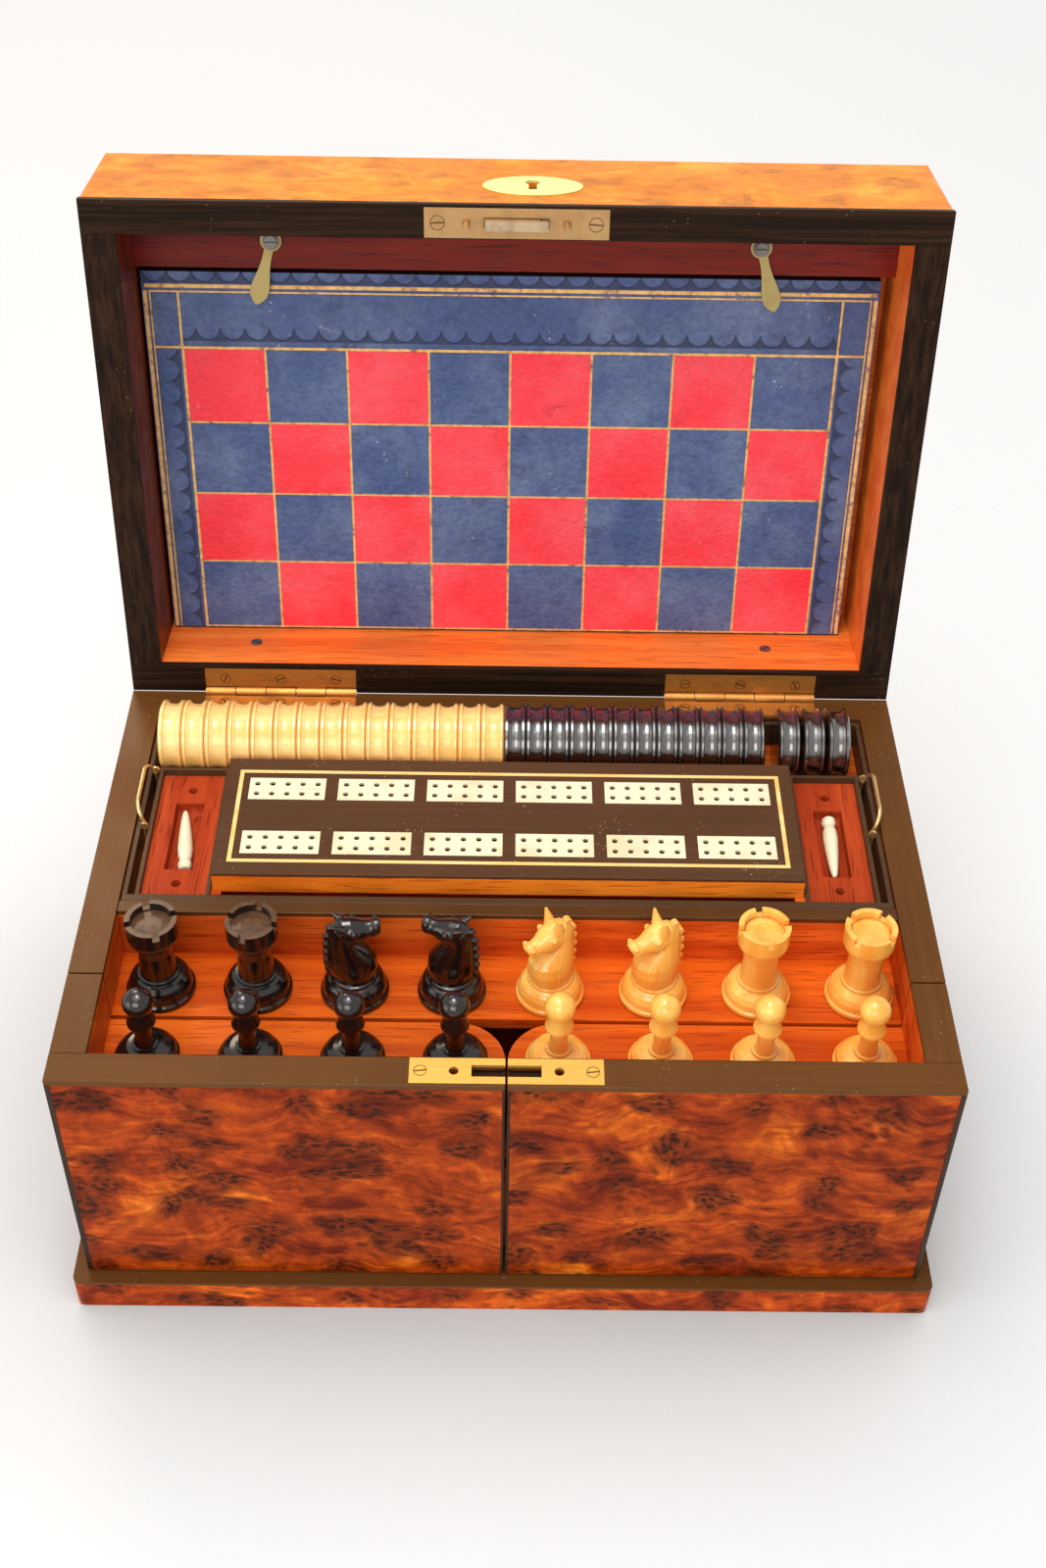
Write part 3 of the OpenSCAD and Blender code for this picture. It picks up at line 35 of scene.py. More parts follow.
# node bench: short words for laying out a material
class Bench:
    def __init__(self, tree):
        self.tree = tree

    def add(self, kind, inputs=None, **settings):
        node = self.tree.nodes.new(kind)
        for key, value in settings.items():
            setattr(node, key, value)
        for key, value in (inputs or {}).items():
            self.feed(node.inputs[key], value)
        return node

    def feed(self, socket, value):
        if isinstance(value, bpy.types.NodeSocket):
            self.tree.links.new(value, socket)
        else:
            socket.default_value = value

    def where(self):                              # metres in the box's own frame
        return self.add("ShaderNodeTexCoord").outputs["Object"]

    def lidWhere(self):                           # x, depth and height as if the lid were shut
        moved = self.add("ShaderNodeVectorMath",
                         {0: self.where(), 1: (0, lidHinge["y"], lidHinge["z"])},
                         operation="SUBTRACT").outputs[0]
        return self.stretch(moved, turn=(lidHinge["open"], 0, 0))

    def stretch(self, vector, scale=(1, 1, 1), shift=(0, 0, 0), turn=(0, 0, 0)):
        return self.add("ShaderNodeMapping", {"Vector": vector, "Scale": scale,
                        "Location": shift, "Rotation": turn}).outputs[0]

    def noise(self, vector, scale=1.0, detail=3.0, rough=0.5, color=False):
        node = self.add("ShaderNodeTexNoise", {"Vector": vector, "Scale": scale,
                        "Detail": detail, "Roughness": rough})
        return node.outputs["Color" if color else "Fac"]

    def fibres(self, vector, axis, slow, quick, detail=2.0, rough=0.5):   # drawn out along one axis
        scale = tuple(slow if way == axis else quick for way in "xyz")
        return self.noise(self.stretch(vector, scale), 1.0, detail, rough)

    def cells(self, vector, scale=1.0, feature="F1", flat=False):
        return self.add("ShaderNodeTexVoronoi", {"Vector": vector, "Scale": scale},
                        feature=feature,
                        voronoi_dimensions="2D" if flat else "3D").outputs["Distance"]

    def calc(self, operation, a, b=0.0):
        return self.add("ShaderNodeMath", {0: a, 1: b}, operation=operation).outputs[0]

    def both(self, a, b):
        return self.calc("MULTIPLY", a, b)

    def either(self, first, *others):
        for other in others:
            first = self.calc("MAXIMUM", first, other)
        return first

    def plus(self, a, b, share=1.0):              # a and a share of b
        return self.calc("ADD", a, b if share == 1.0 else self.calc("MULTIPLY", b, share))

    def below(self, value, limit):
        return self.calc("LESS_THAN", value, limit)

    def above(self, value, limit):
        return self.calc("GREATER_THAN", value, limit)

    def fade(self, value, low, high, outLow=0.0, outHigh=1.0, shape="SMOOTHSTEP"):
        return self.add("ShaderNodeMapRange", {"Value": value, "From Min": low, "From Max": high,
                        "To Min": outLow, "To Max": outHigh},
                        interpolation_type=shape).outputs["Result"]

    def axes(self, vector):
        return self.add("ShaderNodeSeparateXYZ", {0: vector}).outputs

    def point(self, x, y, z):
        return self.add("ShaderNodeCombineXYZ", {0: x, 1: y, 2: z}).outputs[0]

    def blend(self, share, a, b, mode="MIX"):
        node = self.add("ShaderNodeMix", data_type="RGBA", blend_type=mode)
        self.feed(node.inputs[0], share)
        self.feed(node.inputs[6], a)
        self.feed(node.inputs[7], b)
        return node.outputs[2]

    def shade(self, color, value, reach, dark, light, share=1.0):   # tints hollows and tops
        tint = self.blend(self.fade(value, *reach), dark, light)
        return self.blend(share, color, tint, "MULTIPLY")

    # dots that stand in loose herds; size and herd are where each fades out
    def specks(self, perMetre, size, strength, herdsPerMetre, herd, detail=3.0):
        dots = self.fade(self.cells(self.where(), perMetre), *size, strength, 0.0)
        return self.both(dots, self.fade(self.noise(self.where(), herdsPerMetre, detail), *herd))

    # darkens toward a given tone where the AO node finds nooks: painted shade on the turned men,
    # the draughts and the bone, grime on the metals
    def darkerInNooks(self, color, darkTone, reach, closed, clear, strength):
        nook = self.add("ShaderNodeAmbientOcclusion", {"Distance": reach}, samples=6).outputs["AO"]
        return self.blend(self.fade(nook, closed, clear, strength, 0.0), color, darkTone)

    def swirl(self, vector, scale, amount):       # pushes the pattern about, as grown wood flows
        push = self.add("ShaderNodeVectorMath",
                        {0: self.noise(vector, scale, 2.0, color=True), 1: (0.5, 0.5, 0.5)},
                        operation="SUBTRACT").outputs[0]
        push = self.add("ShaderNodeVectorMath", {0: push, "Scale": amount},
                        operation="SCALE").outputs[0]
        return self.add("ShaderNodeVectorMath", {0: vector, 1: push}, operation="ADD").outputs[0]

    def band(self, value, middle, width, soft=0.00008):   # 1 on a line of that width
        away = self.calc("ABSOLUTE", self.calc("SUBTRACT", value, middle))
        return self.fade(away, width / 2 - soft, width / 2 + soft, 1.0, 0.0)

    def relief(self, height, depth, under=None):
        node = self.add("ShaderNodeBump", {"Height": height, "Distance": depth, "Strength": 1.0})
        if under is not None:
            self.feed(node.inputs["Normal"], under)
        return node.outputs[0]

    def finish(self, color, rough=None, normal=None):
        self.feed(self.shader.inputs["Base Color"], color)
        if rough is not None:
            self.feed(self.shader.inputs["Roughness"], rough)
        if normal is not None:
            self.feed(self.shader.inputs["Normal"], normal)
        return self.material


def startMaterial(name, **shine):
    material = bpy.data.materials.new(name)
    material.use_nodes = True
    bench = Bench(material.node_tree)
    bench.material = material
    bench.shader = bench.tree.nodes["Principled BSDF"]
    for socket, value in shine.items():
        bench.shader.inputs[socket.replace("_", " ")].default_value = value
    return bench


# woods
burrLook = {
    "ground": paint(164, 64, 15), "deep": paint(112, 34, 9), "flame": paint(200, 96, 22),
    "glow": paint(232, 142, 48), "halo": paint(84, 30, 10), "eye": paint(46, 24, 13),
    "knotsPerMetre": 44.0, "eyesPerMetre": 300.0, "pinsPerMetre": 150.0, "pinHerds": 34.0,
    "wideSwirl": (13.0, 0.030), "fineSwirl": (42.0, 0.013), "roundKnots": 0.016,
    "grainDark": (0.66, 0.60, 0.52, 1), "grainLight": (1.24, 1.24, 1.2, 1),
    "mottleDark": (0.74, 0.68, 0.64, 1), "mottleLight": (1.20, 1.22, 1.2, 1),
    "gloss": 0.06, "dent": 0.0003, "pore": 0.00002,
}


# plane says which two ways the sheet of veneer lies; onLid measures as if the lid were shut
def burrVeneer(name, plane="xz", shift=(0, 0), flames=0.5, knots=0.5, light=1.0, onLid=False,
               paintedLightTint=None, mottled=1.0):
    look = burrLook
    bench = startMaterial(name, Specular_IOR_Level=look["gloss"])
    x, y, z = bench.axes(bench.lidWhere() if onLid else bench.where())
    along, across = {"xz": (x, z), "yz": (y, z), "xy": (x, y)}[plane]
    sheet = bench.stretch(bench.point(along, across, 0.0), shift=(*shift, 0))
    sheet = bench.swirl(sheet, *look["wideSwirl"])
    sheet = bench.swirl(sheet, *look["fineSwirl"])
    knotAt = bench.cells(bench.stretch(sheet, (0.85, 1.12, 1)), look["knotsPerMetre"],
                         "SMOOTH_F1", flat=True)
    ragged = bench.noise(sheet, 110.0, detail=4.0, rough=0.65)
    knotEdge = bench.plus(knotAt, ragged, 0.34)
    knotMask = bench.fade(knotEdge, 0.24 + 0.20 * knots, 0.44 + 0.24 * knots, 1.0, 0.0)

    u, v, _ = bench.axes(sheet)
    grainAt = bench.point(u, bench.plus(v, knotAt, look["roundKnots"]), 0.3)
    streaks = bench.noise(bench.stretch(grainAt, (34, 66, 1)), detail=5.0, rough=0.64)
    zones = bench.noise(bench.stretch(sheet, (17, 26, 1), (4, 2, 0)), detail=3.0, rough=0.6)
    tone = bench.plus(bench.calc("MULTIPLY", streaks, 0.62), zones, 0.38)
    color = bench.blend(bench.fade(tone, 0.37, 0.52), look["deep"], look["ground"])
    flameMask = bench.fade(tone, 0.56 - 0.08 * flames, 0.68 - 0.08 * flames)
    color = bench.blend(flameMask, color, look["flame"])
    glowMask = bench.fade(tone, 0.64 - 0.07 * flames, 0.78 - 0.07 * flames)
    color = bench.blend(glowMask, color, look["glow"])
    color = bench.blend(bench.calc("MULTIPLY", knotMask, 0.62), color, look["halo"])

    eyeAt = bench.cells(bench.stretch(sheet, (0.74, 1.2, 1)), look["eyesPerMetre"], flat=True)
    eyeRoom = bench.fade(knotEdge, 0.20 + 0.20 * knots, 0.36 + 0.24 * knots, 1.0, 0.0)
    eyeEdge = bench.plus(eyeAt, bench.fade(bench.noise(sheet, 380.0), 0.3, 0.7, -0.2, 0.2))
    eyeMask = bench.both(bench.fade(eyeEdge, 0.12, 0.52, 1.0, 0.0), eyeRoom)
    color = bench.blend(bench.calc("MULTIPLY", eyeMask, 0.9), color, look["eye"])
    pinAt = bench.cells(bench.stretch(sheet, (0.7, 1.2, 1), (0.2, 0.4, 0)), look["pinsPerMetre"],
                        flat=True)
    pinHerd = bench.fade(bench.noise(sheet, look["pinHerds"]), 0.53, 0.64)
    color = bench.blend(bench.both(bench.fade(pinAt, 0.10, 0.42, 0.75, 0.0), pinHerd), color,
                        look["halo"])

    fibre = bench.noise(bench.stretch(grainAt, (70, 760, 1)), detail=4.0, rough=0.65)
    lines = bench.noise(bench.stretch(grainAt, (22, 300, 1)), detail=3.0, rough=0.6)
    grain = bench.plus(bench.calc("MULTIPLY", fibre, 0.5), lines, 0.5)
    color = bench.shade(color, grain, (0.34, 0.66), look["grainDark"], look["grainLight"])
    if paintedLightTint:                                     # painted light: a lighter, more golden copy of the sheet; how much, and its colour
        color = bench.blend(paintedLightTint[0], color, paintedLightTint[1])
    # lightens the whole sheet; on the lid front it is painted light
    if light != 1.0:
        color = bench.blend(1.0, color, (light, light, light, 1), "MULTIPLY")
    mottle = bench.noise(sheet, 170.0, detail=3.0, rough=0.6)
    color = bench.shade(color, mottle, (0.34, 0.66), look["mottleDark"], look["mottleLight"],
                        mottled)
    dents = bench.noise(bench.where(), 55.0, detail=2.0)
    rough = bench.fade(bench.noise(bench.where(), 30.0, detail=4.0), 0.3, 0.7, 0.20, 0.34)
    return bench.finish(color, rough, bench.relief(dents, look["dent"],
                                                   bench.relief(fibre, look["pore"])))


woodSets = {
    "shelf": {"dark": paint(192, 70, 12), "light": paint(236, 110, 28),
              "pore": paint(150, 48, 10), "gloss": 0.26, "shine": 0.12},
    "wall": {"dark": paint(194, 72, 20), "light": paint(238, 118, 42),
             "pore": paint(124, 40, 12), "gloss": 0.32, "shine": 0.12},
    "lidWall": {"dark": paint(226, 100, 34), "light": paint(252, 138, 54),
                "pore": paint(166, 62, 20), "gloss": 0.34, "shine": 0.25},
    "lidShade": {"dark": paint(78, 30, 18), "light": paint(116, 48, 28),
                 "pore": paint(50, 18, 12), "gloss": 0.34, "shine": 0.1},
    "batten": {"dark": paint(94, 20, 12), "light": paint(122, 32, 20),
               "pore": paint(62, 12, 8), "gloss": 0.30, "shine": 0.2},
    "block": {"dark": paint(156, 52, 24), "light": paint(198, 80, 38),
              "pore": paint(104, 30, 14), "gloss": 0.40, "shine": 0.06},
    # painted light: the crib's mahogany is written brighter than the wood, to lift its front face
    # out of the shade it stands in
    "crib": {"dark": paint(250, 112, 22), "light": paint(255, 152, 46),
             "pore": paint(170, 64, 14), "gloss": 0.34, "shine": 0.12},
}


def mahogany(name, look, along="x"):
    bench = startMaterial(name, Specular_IOR_Level=look["shine"])
    at = bench.swirl(bench.where(), 9.0, 0.008)
    broad = bench.fibres(at, along, 4, 90, detail=4.0, rough=0.6)
    color = bench.blend(bench.fade(broad, 0.3, 0.7), look["dark"], look["light"])
    poreMask = bench.fade(bench.fibres(at, along, 45, 1400), 0.56, 0.68, 0.0, 0.7)
    color = bench.blend(poreMask, color, look["pore"])
    worn = bench.noise(bench.where(), 70.0, detail=5.0, rough=0.6)
    color = bench.blend(bench.fade(worn, 0.62, 0.80, 0.0, 0.35), color, look["pore"])
    rough = bench.fade(worn, 0.3, 0.7, look["gloss"] - 0.06, look["gloss"] + 0.10)
    return bench.finish(color, rough, bench.relief(poreMask, -0.00006))


ebonyLook = {
    "heart": paint(28, 18, 12), "vein": paint(56, 37, 24), "dust": paint(178, 150, 112),
    "paintedLightFilm": paint(110, 68, 28),
}


def ebonyWood(name, along="x", paintedLightFilm=0.0, dust=0.3, gloss=0.32, shine=0.16, paintedLightColor=None):
    bench = startMaterial(name, Specular_IOR_Level=shine)
    look = ebonyLook
    at = bench.swirl(bench.where(), 12.0, 0.004)
    lines = bench.fibres(at, along, 6, 420, detail=4.0, rough=0.65)
    color = bench.blend(bench.fade(lines, 0.35, 0.72), look["heart"], look["vein"])
    if paintedLightFilm:                                       # a brown film that lightens the ebony: painted light from above and painted sheen on faces that lie flat
        cloud = bench.noise(bench.where(), 22.0, detail=4.0, rough=0.6)
        paintedLightMask = bench.both(bench.fade(cloud, 0.2, 0.8, 0.8, 1.0),
                           bench.fade(lines, 0.3, 0.75, 0.88, 1.0))
        color = bench.blend(bench.calc("MULTIPLY", paintedLightMask, paintedLightFilm), color, paintedLightColor or look["paintedLightFilm"])
    dusty = bench.specks(420.0, (0.08, 0.20), dust, 60.0, (0.52, 0.70))
    color = bench.blend(dusty, color, look["dust"])
    scratch = bench.noise(bench.stretch(bench.where(), (14, 14, 14), turn=(0.2, 0.5, 0.7)),
                          detail=8.0, rough=0.75)
    rough = bench.fade(scratch, 0.35, 0.65, gloss - 0.06, gloss + 0.12)
    return bench.finish(color, rough, bench.relief(lines, 0.00004))


# darkTone is the colour of the flecks and of the painted shade in the nooks; nook is how far that
# shade reaches
turnedLook = {
    "boxwood": {"pale": paint(255, 208, 106), "dark": paint(250, 172, 68),
                "darkTone": paint(184, 100, 34), "gloss": 0.16, "nook": 0.0022},
    "draught": {"pale": paint(255, 230, 156), "dark": paint(252, 200, 112),
                "darkTone": paint(200, 112, 34), "gloss": 0.20, "nook": 0.0026},
}


def turnedBoxwood(name, look, along="z"):
    bench = startMaterial(name, Specular_IOR_Level=0.5, Coat_Weight=0.2, Coat_Roughness=0.10,
                          Subsurface_Weight=0.06, Subsurface_Scale=0.002,
                          Subsurface_Radius=(1.0, 0.45, 0.2))
    at = bench.swirl(bench.where(), 20.0, 0.006)
    fibre = bench.fibres(at, along, 14, 130, detail=4.0, rough=0.6)
    color = bench.blend(bench.fade(fibre, 0.3, 0.72), look["dark"], look["pale"])
    patches = bench.noise(bench.where(), 45.0)
    color = bench.blend(bench.fade(patches, 0.55, 0.8, 0.0, 0.4), color, look["dark"])
    # painted shade: darker in the grooves of the men and in the joints between the draughts
    color = bench.darkerInNooks(color, look["darkTone"], look["nook"], 0.30, 0.90, 0.75)
    flecks = bench.specks(330.0, (0.08, 0.20), 0.6, 90.0, (0.60, 0.72), detail=2.0)
    color = bench.blend(flecks, color, look["darkTone"])
    rough = bench.fade(patches, 0.3, 0.7, look["gloss"] - 0.06, look["gloss"] + 0.08)
    return bench.finish(color, rough, bench.relief(fibre, 0.00002))


blackLook = {
    "deepTone": paint(22, 15, 12), "rubbed": paint(58, 36, 26), "dust": paint(112, 74, 40),
    "gloss": 0.17,
}


# dusty: how much dust lies on the faces that look up; sheen is how soft the polish's shine is
def blackStained(name, rubbed=0.5, dusty=0.0, coat=0.3, sheen=0.10, polish=1.7):
    bench = startMaterial(name, Specular_IOR_Level=0.4, Coat_Weight=coat * (1 - dusty),
                          Coat_Roughness=sheen, Coat_IOR=polish)
    look = blackLook
    worn = bench.noise(bench.where(), 90.0, detail=4.0, rough=0.55)
    color = bench.blend(bench.fade(worn, 0.60 - 0.12 * rubbed, 0.85, 0.0, 0.7), look["deepTone"],
                        look["rubbed"])
    if dusty:
        grit = bench.noise(bench.where(), 420.0, detail=5.0, rough=0.7)
        color = bench.blend(bench.fade(grit, 0.30, 0.62, 0.45 * dusty, dusty), color,
                            look["dust"])
    rough = bench.fade(worn, 0.3, 0.75, look["gloss"] - 0.05 + 0.4 * dusty,
                       look["gloss"] + 0.10 + 0.4 * dusty)
    fine = bench.noise(bench.where(), 500.0, detail=2.0)
    return bench.finish(color, rough, bench.relief(fine, 0.000006))


# metals; solid is how far the finish is bare metal
metalSets = {
    "bright": {"metal": paint(240, 184, 86), "tarnish": paint(212, 148, 66),
               "rough": 0.32, "spread": 0.3, "solid": 0.5},
    "lock": {"metal": paint(186, 148, 100), "tarnish": paint(148, 110, 66),
             "rough": 0.36, "spread": 0.6, "solid": 0.7},
    "hinge": {"metal": paint(202, 140, 68), "tarnish": paint(134, 84, 36),
              "rough": 0.34, "spread": 0.6, "solid": 0.7},
    # painted reflection: the escutcheon's colours are written pale and bright, and its finish
    # mostly not metal, so that it looks as bright as a glint off metal
    "oval": {"metal": paint(255, 244, 152), "tarnish": paint(248, 224, 130),
             "rough": 0.34, "spread": 0.3, "solid": 0.35},
    "button": {"metal": paint(178, 160, 104), "tarnish": paint(136, 114, 66),
               "rough": 0.36, "spread": 0.6, "solid": 0.7},
    "wire": {"metal": paint(226, 200, 140), "tarnish": paint(156, 118, 66),
             "rough": 0.26, "spread": 0.5, "solid": 0.85},
    "bolt": {"metal": paint(196, 172, 140), "tarnish": paint(116, 88, 60),
             "rough": 0.34, "spread": 0.8, "solid": 0.8},
    "screw": {"metal": paint(124, 122, 120), "tarnish": paint(72, 66, 60),
              "rough": 0.34, "spread": 0.6, "solid": 0.8},
}
cornerGrime = {"color": paint(70, 44, 22), "reach": 0.0012}


def agedMetal(name, look, rubbed="x"):
    bench = startMaterial(name, Metallic=look["solid"])
    cloud = bench.noise(bench.where(), 90.0, detail=5.0, rough=0.65)
    color = bench.blend(bench.fade(cloud, 0.42, 0.78, 0.0, look["spread"]), look["metal"],
                        look["tarnish"])
    pits = bench.specks(600.0, (0.08, 0.22), 0.8, 130.0, (0.58, 0.70))
    color = bench.blend(pits, color, look["tarnish"])
    color = bench.darkerInNooks(color, cornerGrime["color"], cornerGrime["reach"], 0.45, 0.95, 0.7)
    brush = bench.fibres(bench.where(), rubbed, 60, 2600)
    rough = bench.fade(bench.plus(brush, cloud), 0.7, 1.3, look["rough"] - 0.08,
                       look["rough"] + 0.14)
    return bench.finish(color, rough, bench.relief(brush, 0.000005))


# deepTone is the stain along the canals and the painted shade in the peg holes
boneLook = {"pale": paint(246, 238, 204), "warm": paint(232, 210, 158),
            "deepTone": paint(138, 88, 48), "nook": 0.0022}


def carvedBone(name):
    bench = startMaterial(name, Specular_IOR_Level=0.5, Roughness=0.32, Subsurface_Weight=0.08,
                          Subsurface_Scale=0.002)
    look = boneLook
    canals = bench.fibres(bench.where(), "x", 40, 900, detail=3.0, rough=0.6)
    patches = bench.noise(bench.where(), 60.0)
    color = bench.blend(bench.fade(patches, 0.45, 0.8, 0.0, 0.7), look["pale"], look["warm"])
    color = bench.blend(bench.fade(canals, 0.60, 0.78, 0.0, 0.25), color, look["deepTone"])
    # painted shade: darker on the walls of the peg holes, where the AO node finds them
    color = bench.darkerInNooks(color, look["deepTone"], look["nook"], 0.45, 0.92, 0.75)
    return bench.finish(color, None, bench.relief(canals, 0.00002))


# leather of the folding board
boardLook = {
    "blue": paint(64, 84, 134), "blueDeep": paint(38, 50, 84), "blueWorn": paint(100, 118, 156),
    "red": paint(246, 52, 68), "redWorn": paint(242, 92, 104), "redDeep": paint(192, 28, 46),
    "gold": paint(230, 186, 116), "goldWorn": paint(178, 124, 70), "scuff": paint(206, 200, 190),
    "edge": paint(44, 30, 26), "edgeWorn": paint(96, 66, 50),
    "hollow": (0.80, 0.80, 0.82, 1), "pebble": (1.14, 1.14, 1.12, 1),
}
# the tooling on the board's face, metres: across from its middle, and out from the fold
toolWork = {
    "middle": -0.0019, "half": 0.1339, "top": 0.1449,              # the field of squares
    "thin": 0.1687, "thick": 0.1710,                               # lines out past the squares
    "sideThin": 0.1454, "sideThick": 0.1473,                       # lines beside the squares
    "scallop": 0.010, "scallopRoom": 0.0006, "scallopEdge": (0.0047, 0.0052),
    "scallopRim": (0.0048, 0.0009, 0.0003), "edgeHeight": 0.0333,
}


def leatherGrain(bench):
    pebble = bench.cells(bench.stretch(bench.where(), (1, 1, 1.2)), 520.0, "SMOOTH_F1")
    crease = bench.noise(bench.where(), 320.0, detail=5.0, rough=0.65)
    return bench.plus(crease, pebble, 0.6)


def pebbleTint(bench, color, grain, share=1.0):
    return bench.shade(color, grain, (0.45, 1.0), boardLook["hollow"], boardLook["pebble"], share)


def scuffs(bench, color, amount):
    scratch = bench.noise(bench.stretch(bench.where(), (40, 240, 60), turn=(0.3, 0.9, 0.4)),
                          detail=6.0, rough=0.8)
    dots = bench.specks(260.0, (0.05, 0.16), 0.9, 55.0, (0.56, 0.68), detail=4.0)
    mask = bench.either(dots, bench.fade(scratch, 0.66, 0.74, 0.0, 0.5))
    return bench.blend(bench.calc("MULTIPLY", mask, amount), color, boardLook["scuff"])


def squareLeather(name, plain, worn, deep, scuffed, pebbled=1.0):
    bench = startMaterial(name, Specular_IOR_Level=0.4)
    clouds = bench.noise(bench.where(), 26.0, detail=4.0, rough=0.6)
    color = bench.blend(bench.fade(clouds, 0.35, 0.75), plain, worn)
    grime = bench.noise(bench.where(), 75.0, detail=5.0, rough=0.65)
    color = bench.blend(bench.fade(grime, 0.55, 0.78, 0.0, 0.6), color, deep)
    color = scuffs(bench, color, scuffed)
    grain = leatherGrain(bench)
    color = pebbleTint(bench, color, grain, pebbled)
    rough = bench.fade(clouds, 0.3, 0.7, 0.38, 0.52)
    return bench.finish(color, rough, bench.relief(grain, 0.0004))


def tooledBoard(name):
    bench = startMaterial(name, Specular_IOR_Level=0.4)
    look, work = boardLook, toolWork
    half, top, bowl = work["half"], work["top"], work["scallop"] / 2
    x, depth, height = bench.axes(bench.lidWhere())
    out = bench.calc("MULTIPLY", depth, -1.0)                      # distance from the hinge
    side = bench.calc("ABSOLUTE", bench.calc("SUBTRACT", x, work["middle"]))
    clouds = bench.noise(bench.where(), 26.0, detail=4.0, rough=0.6)
    color = bench.blend(bench.fade(clouds, 0.35, 0.75), look["blue"], look["blueWorn"])
    grime = bench.noise(bench.where(), 75.0, detail=5.0, rough=0.65)
    color = bench.blend(bench.fade(grime, 0.52, 0.76, 0.0, 0.75), color, look["blueDeep"])

    def scallops(run, rise, tips):                 # a row of half circles whose tips lie on a line
        step = bench.calc("FRACT", bench.calc("DIVIDE", run, work["scallop"]))
        across = bench.calc("MULTIPLY", bench.calc("SUBTRACT", step, 0.5), work["scallop"])
        up = bench.calc("SUBTRACT", rise, tips + bowl)
        far = bench.calc("SQRT", bench.plus(bench.both(across, across), bench.both(up, up)))
        low = bench.below(rise, tips + bowl)
        inBand = bench.both(bench.above(rise, tips - work["scallopRoom"]),
                            bench.below(rise, tips + bowl))
        dark = bench.both(bench.fade(far, *work["scallopEdge"]), low)
        rim = bench.both(bench.band(far, *work["scallopRim"]), low)
        return bench.both(dark, inBand), bench.both(rim, inBand)

    mainArea = bench.below(side, half + 0.001)
    sideZone = bench.below(out, top - 0.001)
    lower = scallops(x, out, top + 0.0036)
    upper = scallops(x, out, work["thick"] + 0.0018)
    beside = scallops(out, side, half + 0.0022)
    darkMask, rimMask = (bench.either(bench.both(lower[i], mainArea), upper[i],
                                      bench.both(beside[i], sideZone)) for i in (0, 1))
    color = bench.blend(bench.calc("MULTIPLY", darkMask, 0.85), color, look["blueDeep"])
    color = bench.blend(bench.calc("MULTIPLY", rimMask, 0.45), color, look["blueDeep"])
    color = scuffs(bench, color, 0.9)

    underThin = bench.below(out, work["thin"] + 0.0003)
    besideThin = bench.below(side, work["sideThin"])
    goldLines = (                                  # each line, and how far it runs
        (bench.band(out, work["thin"], 0.0008), besideThin),
        (bench.band(out, work["thick"], 0.0016), bench.below(side, work["sideThick"])),
        (bench.band(side, work["sideThin"], 0.0007), underThin),
        (bench.band(side, work["sideThick"], 0.0016), underThin),
        (bench.band(side, half + 0.0002, 0.0010), underThin),
        (bench.band(out, top + 0.0002, 0.0011), besideThin),
        (bench.below(side, half), bench.below(out, top)),          # gold under all the squares
    )
    lines = bench.either(*(bench.both(line, run) for line, run in goldLines))
    rubbed = bench.noise(bench.where(), 210.0, detail=4.0, rough=0.7)
    gold = bench.blend(bench.fade(rubbed, 0.5, 0.7), look["gold"], look["goldWorn"])
    lines = bench.both(lines, bench.fade(rubbed, 0.60, 0.74, 1.0, 0.25))
    color = bench.blend(lines, color, gold)
    color = bench.blend(bench.above(height, work["edgeHeight"]), color, look["edge"])
    grain = leatherGrain(bench)
    color = pebbleTint(bench, color, grain)
    pressedIn = bench.calc("MULTIPLY", bench.either(lines, darkMask), 1.6)
    pressed = bench.calc("SUBTRACT", grain, pressedIn)
    rough = bench.fade(clouds, 0.3, 0.7, 0.40, 0.54)
    return bench.finish(color, rough, bench.relief(pressed, 0.00022))


def darkLeather(name):
    bench = startMaterial(name, Specular_IOR_Level=0.35, Roughness=0.6)
    patches = bench.noise(bench.where(), 180.0, detail=5.0, rough=0.7)
    color = bench.blend(bench.fade(patches, 0.45, 0.7), boardLook["edge"], boardLook["edgeWorn"])
    return bench.finish(color, None, bench.relief(leatherGrain(bench), 0.0002))


leftDoorBurr = burrVeneer("leftDoorBurr", "xz", (0.33, 0.12), flames=0.45, knots=0.62)
rightDoorBurr = burrVeneer("rightDoorBurr", "xz", (1.47, 0.61), flames=0.75, knots=0.5)
plinthBurr = burrVeneer("plinthBurr", "xz", (2.12, 0.35), flames=0.9, knots=0.3, light=1.25)
plinthSideBurr = burrVeneer("plinthSideBurr", "yz", (2.6, 0.9), flames=0.9, knots=0.3, light=1.25)
sideBurr = burrVeneer("sideBurr", "yz", (0.91, 1.42), flames=0.7, knots=0.35)
backBurr = burrVeneer("backBurr", "xz", (3.21, 0.53), flames=0.7, knots=0.3)
# painted light: the lid front's burr is a lighter, more golden and calmer copy with more flame,
# standing for the strong light from above that falls on it
lidFrontBurr = burrVeneer("lidFrontBurr", "xz", (5.37, 0.72), flames=2.0, knots=0.2, light=1.2,
                          onLid=True, paintedLightTint=(0.35, paint(252, 162, 46)), mottled=0.4)
lidTopBurr = burrVeneer("lidTopBurr", "xy", (4.41, 2.36), flames=0.9, knots=0.35, onLid=True)
lidSideBurr = burrVeneer("lidSideBurr", "yz", (6.13, 1.71), flames=0.9, knots=0.35, onLid=True)

